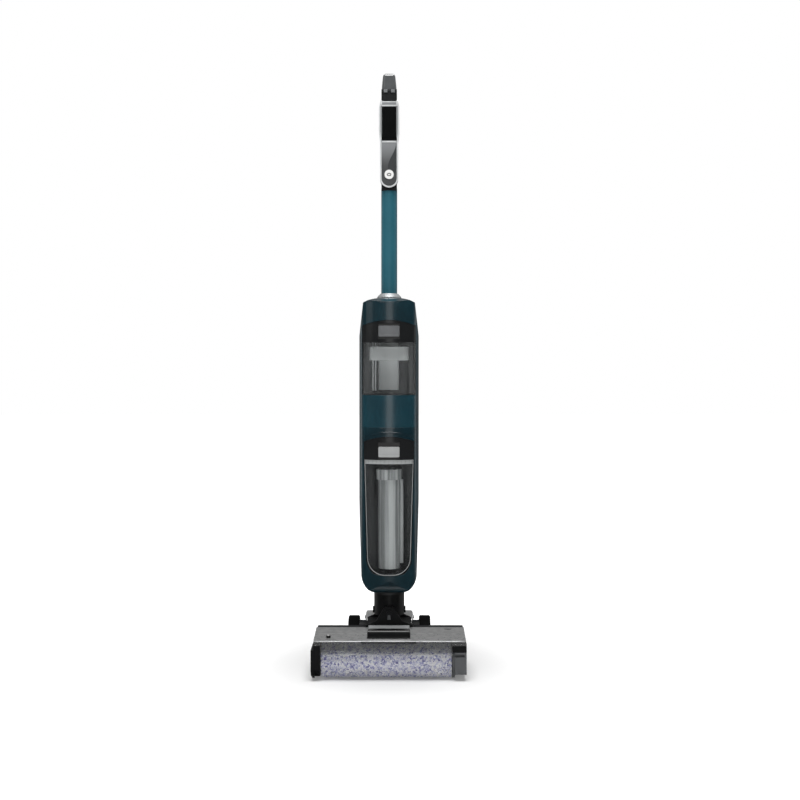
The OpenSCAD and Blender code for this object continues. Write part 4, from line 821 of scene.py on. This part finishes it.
# the room: a pale floor that runs into a white background
# the floor's glow is low near the machine, a painted soft shadow, and rises to full between two distances in
# metres
studio = dict(floorHex="#cfcfcf", floorShade="#cccccc", floorHalf=14.0, glowInPaintedShadow=0.12, paintedShadowFrom=0.12,
              paintedShadowTo=0.55, worldFront=0.02, worldBack=0.2)


def buildFloor():
    # matt emulsion on board: white, with a faint unevenness
    material, tree, output, place = startMaterial("emulsionOnBoard")
    cloud = addNode(tree, "ShaderNodeTexNoise", {"Scale": 0.8, "Detail": 2.0}, {"Vector": place})
    tone = addNode(tree, "ShaderNodeValToRGB", links={"Fac": cloud.outputs["Fac"]})
    rampStops(tone, [(0.3, studio["floorShade"]), (0.7, studio["floorHex"])])
    # the board glows less near the machine, a painted soft shadow round it, and more away from it, so it runs
    # into the white room without a seam
    reach = addNode(tree, "ShaderNodeVectorMath", {"operation": "LENGTH"}, {0: place})
    glowWithPaintedShadow = addNode(tree, "ShaderNodeMapRange",
                   {"From Min": studio["paintedShadowFrom"], "From Max": studio["paintedShadowTo"],
                    "To Min": studio["glowInPaintedShadow"]},
                   {"Value": reach.outputs["Value"]})
    shader = addNode(tree, "ShaderNodeBsdfPrincipled", {"Roughness": 0.8, "Emission Color": (1, 1, 1, 1)},
                     {"Base Color": tone.outputs["Color"], "Emission Strength": glowWithPaintedShadow.outputs["Result"]})
    tree.links.new(shader.outputs[0], output.inputs[0])
    mesh = bpy.data.meshes.new("floor")
    s = studio["floorHalf"]
    mesh.from_pydata([(-s, -s, 0), (s, -s, 0), (s, s, 0), (-s, s, 0)], [], [(0, 1, 2, 3)])
    floor = bpy.data.objects.new("floor", mesh)
    scene.collection.objects.link(floor)
    mesh.materials.append(material)
    # the board is left out of mirror reflections, so dark gloss stays dark
    floor.visible_glossy = False


def buildWorld():
    # pale behind the machine, dark towards the viewer, as in a room with one white wall
    world = bpy.data.worlds.new("studioRoom")
    scene.world = world
    world.use_nodes = True
    tree = world.node_tree
    tree.nodes.clear()
    way = addNode(tree, "ShaderNodeTexCoord").outputs["Generated"]
    split = addNode(tree, "ShaderNodeSeparateXYZ", links={0: way})
    room = addNode(tree, "ShaderNodeMapRange",
                   {"From Min": -0.35, "From Max": 0.9, "To Min": studio["worldFront"],
                    "To Max": studio["worldBack"], "interpolation_type": "SMOOTHSTEP"},
                   {"Value": split.outputs["Y"]})
    seen = addNode(tree, "ShaderNodeLightPath")
    shown = addNode(tree, "ShaderNodeMath", {"operation": "MAXIMUM"},
                    {0: room.outputs["Result"], 1: seen.outputs["Is Camera Ray"]})
    light = addNode(tree, "ShaderNodeBackground", {"Color": (1, 1, 1, 1)}, {"Strength": shown.outputs[0]})
    addNode(tree, "ShaderNodeOutputWorld", links={0: light.outputs[0]})


softboxes = {
    # place, where it looks, size in metres, power in watts
    "overhead": dict(at=(0.0, -0.85, 3.0), to=(0, 0, 0.4), size=(1.9, 1.9), power=112),
    "frontCard": dict(at=(0.05, -2.9, 0.5), to=(0, 0, 0.5), size=(0.8, 1.5), power=4.6),
    "frontLeft": dict(at=(-1.9, -1.6, 1.5), to=(0, 0, 0.5), size=(0.7, 1.6), power=2.5),
    "rightEdge": dict(at=(1.5, 0.15, 0.8), to=(0, 0, 0.6), size=(0.4, 1.9), power=2.2),
    "leftEdge": dict(at=(-1.6, 0.7, 0.8), to=(0, 0, 0.6), size=(0.3, 1.8), power=2.5),
}


def buildLights():
    for name, box in softboxes.items():
        data = bpy.data.lights.new(name, "AREA")
        data.shape = "RECTANGLE"
        data.size, data.size_y = box["size"]
        data.energy = box["power"]
        lamp = bpy.data.objects.new(name, data)
        scene.collection.objects.link(lamp)
        lamp.location = box["at"]
        look = Vector(box["to"]) - Vector(box["at"])
        lamp.rotation_mode = "QUATERNION"
        lamp.rotation_quaternion = look.to_track_quat("-Z", "Y")


# where the viewer stands in metres, the lens and sensor in millimetres, and the upward shift
viewpoint = dict(at=(0.021, -2.2, 0.565), lens=51.18, sensor=36, shiftUp=-0.0306)


def buildCamera():
    data = bpy.data.cameras.new("viewer")
    data.lens = viewpoint["lens"]
    data.sensor_width = viewpoint["sensor"]
    data.shift_y = viewpoint["shiftUp"]
    data.clip_start, data.clip_end = 0.05, 60
    camera = bpy.data.objects.new("viewer", data)
    scene.collection.objects.link(camera)
    camera.location = viewpoint["at"]
    camera.rotation_euler = (math.radians(90), 0, 0)
    scene.camera = camera


buildFloor()
buildWorld()
buildLights()
buildCamera()
scene.view_settings.view_transform = "Standard"
print("studio ready")
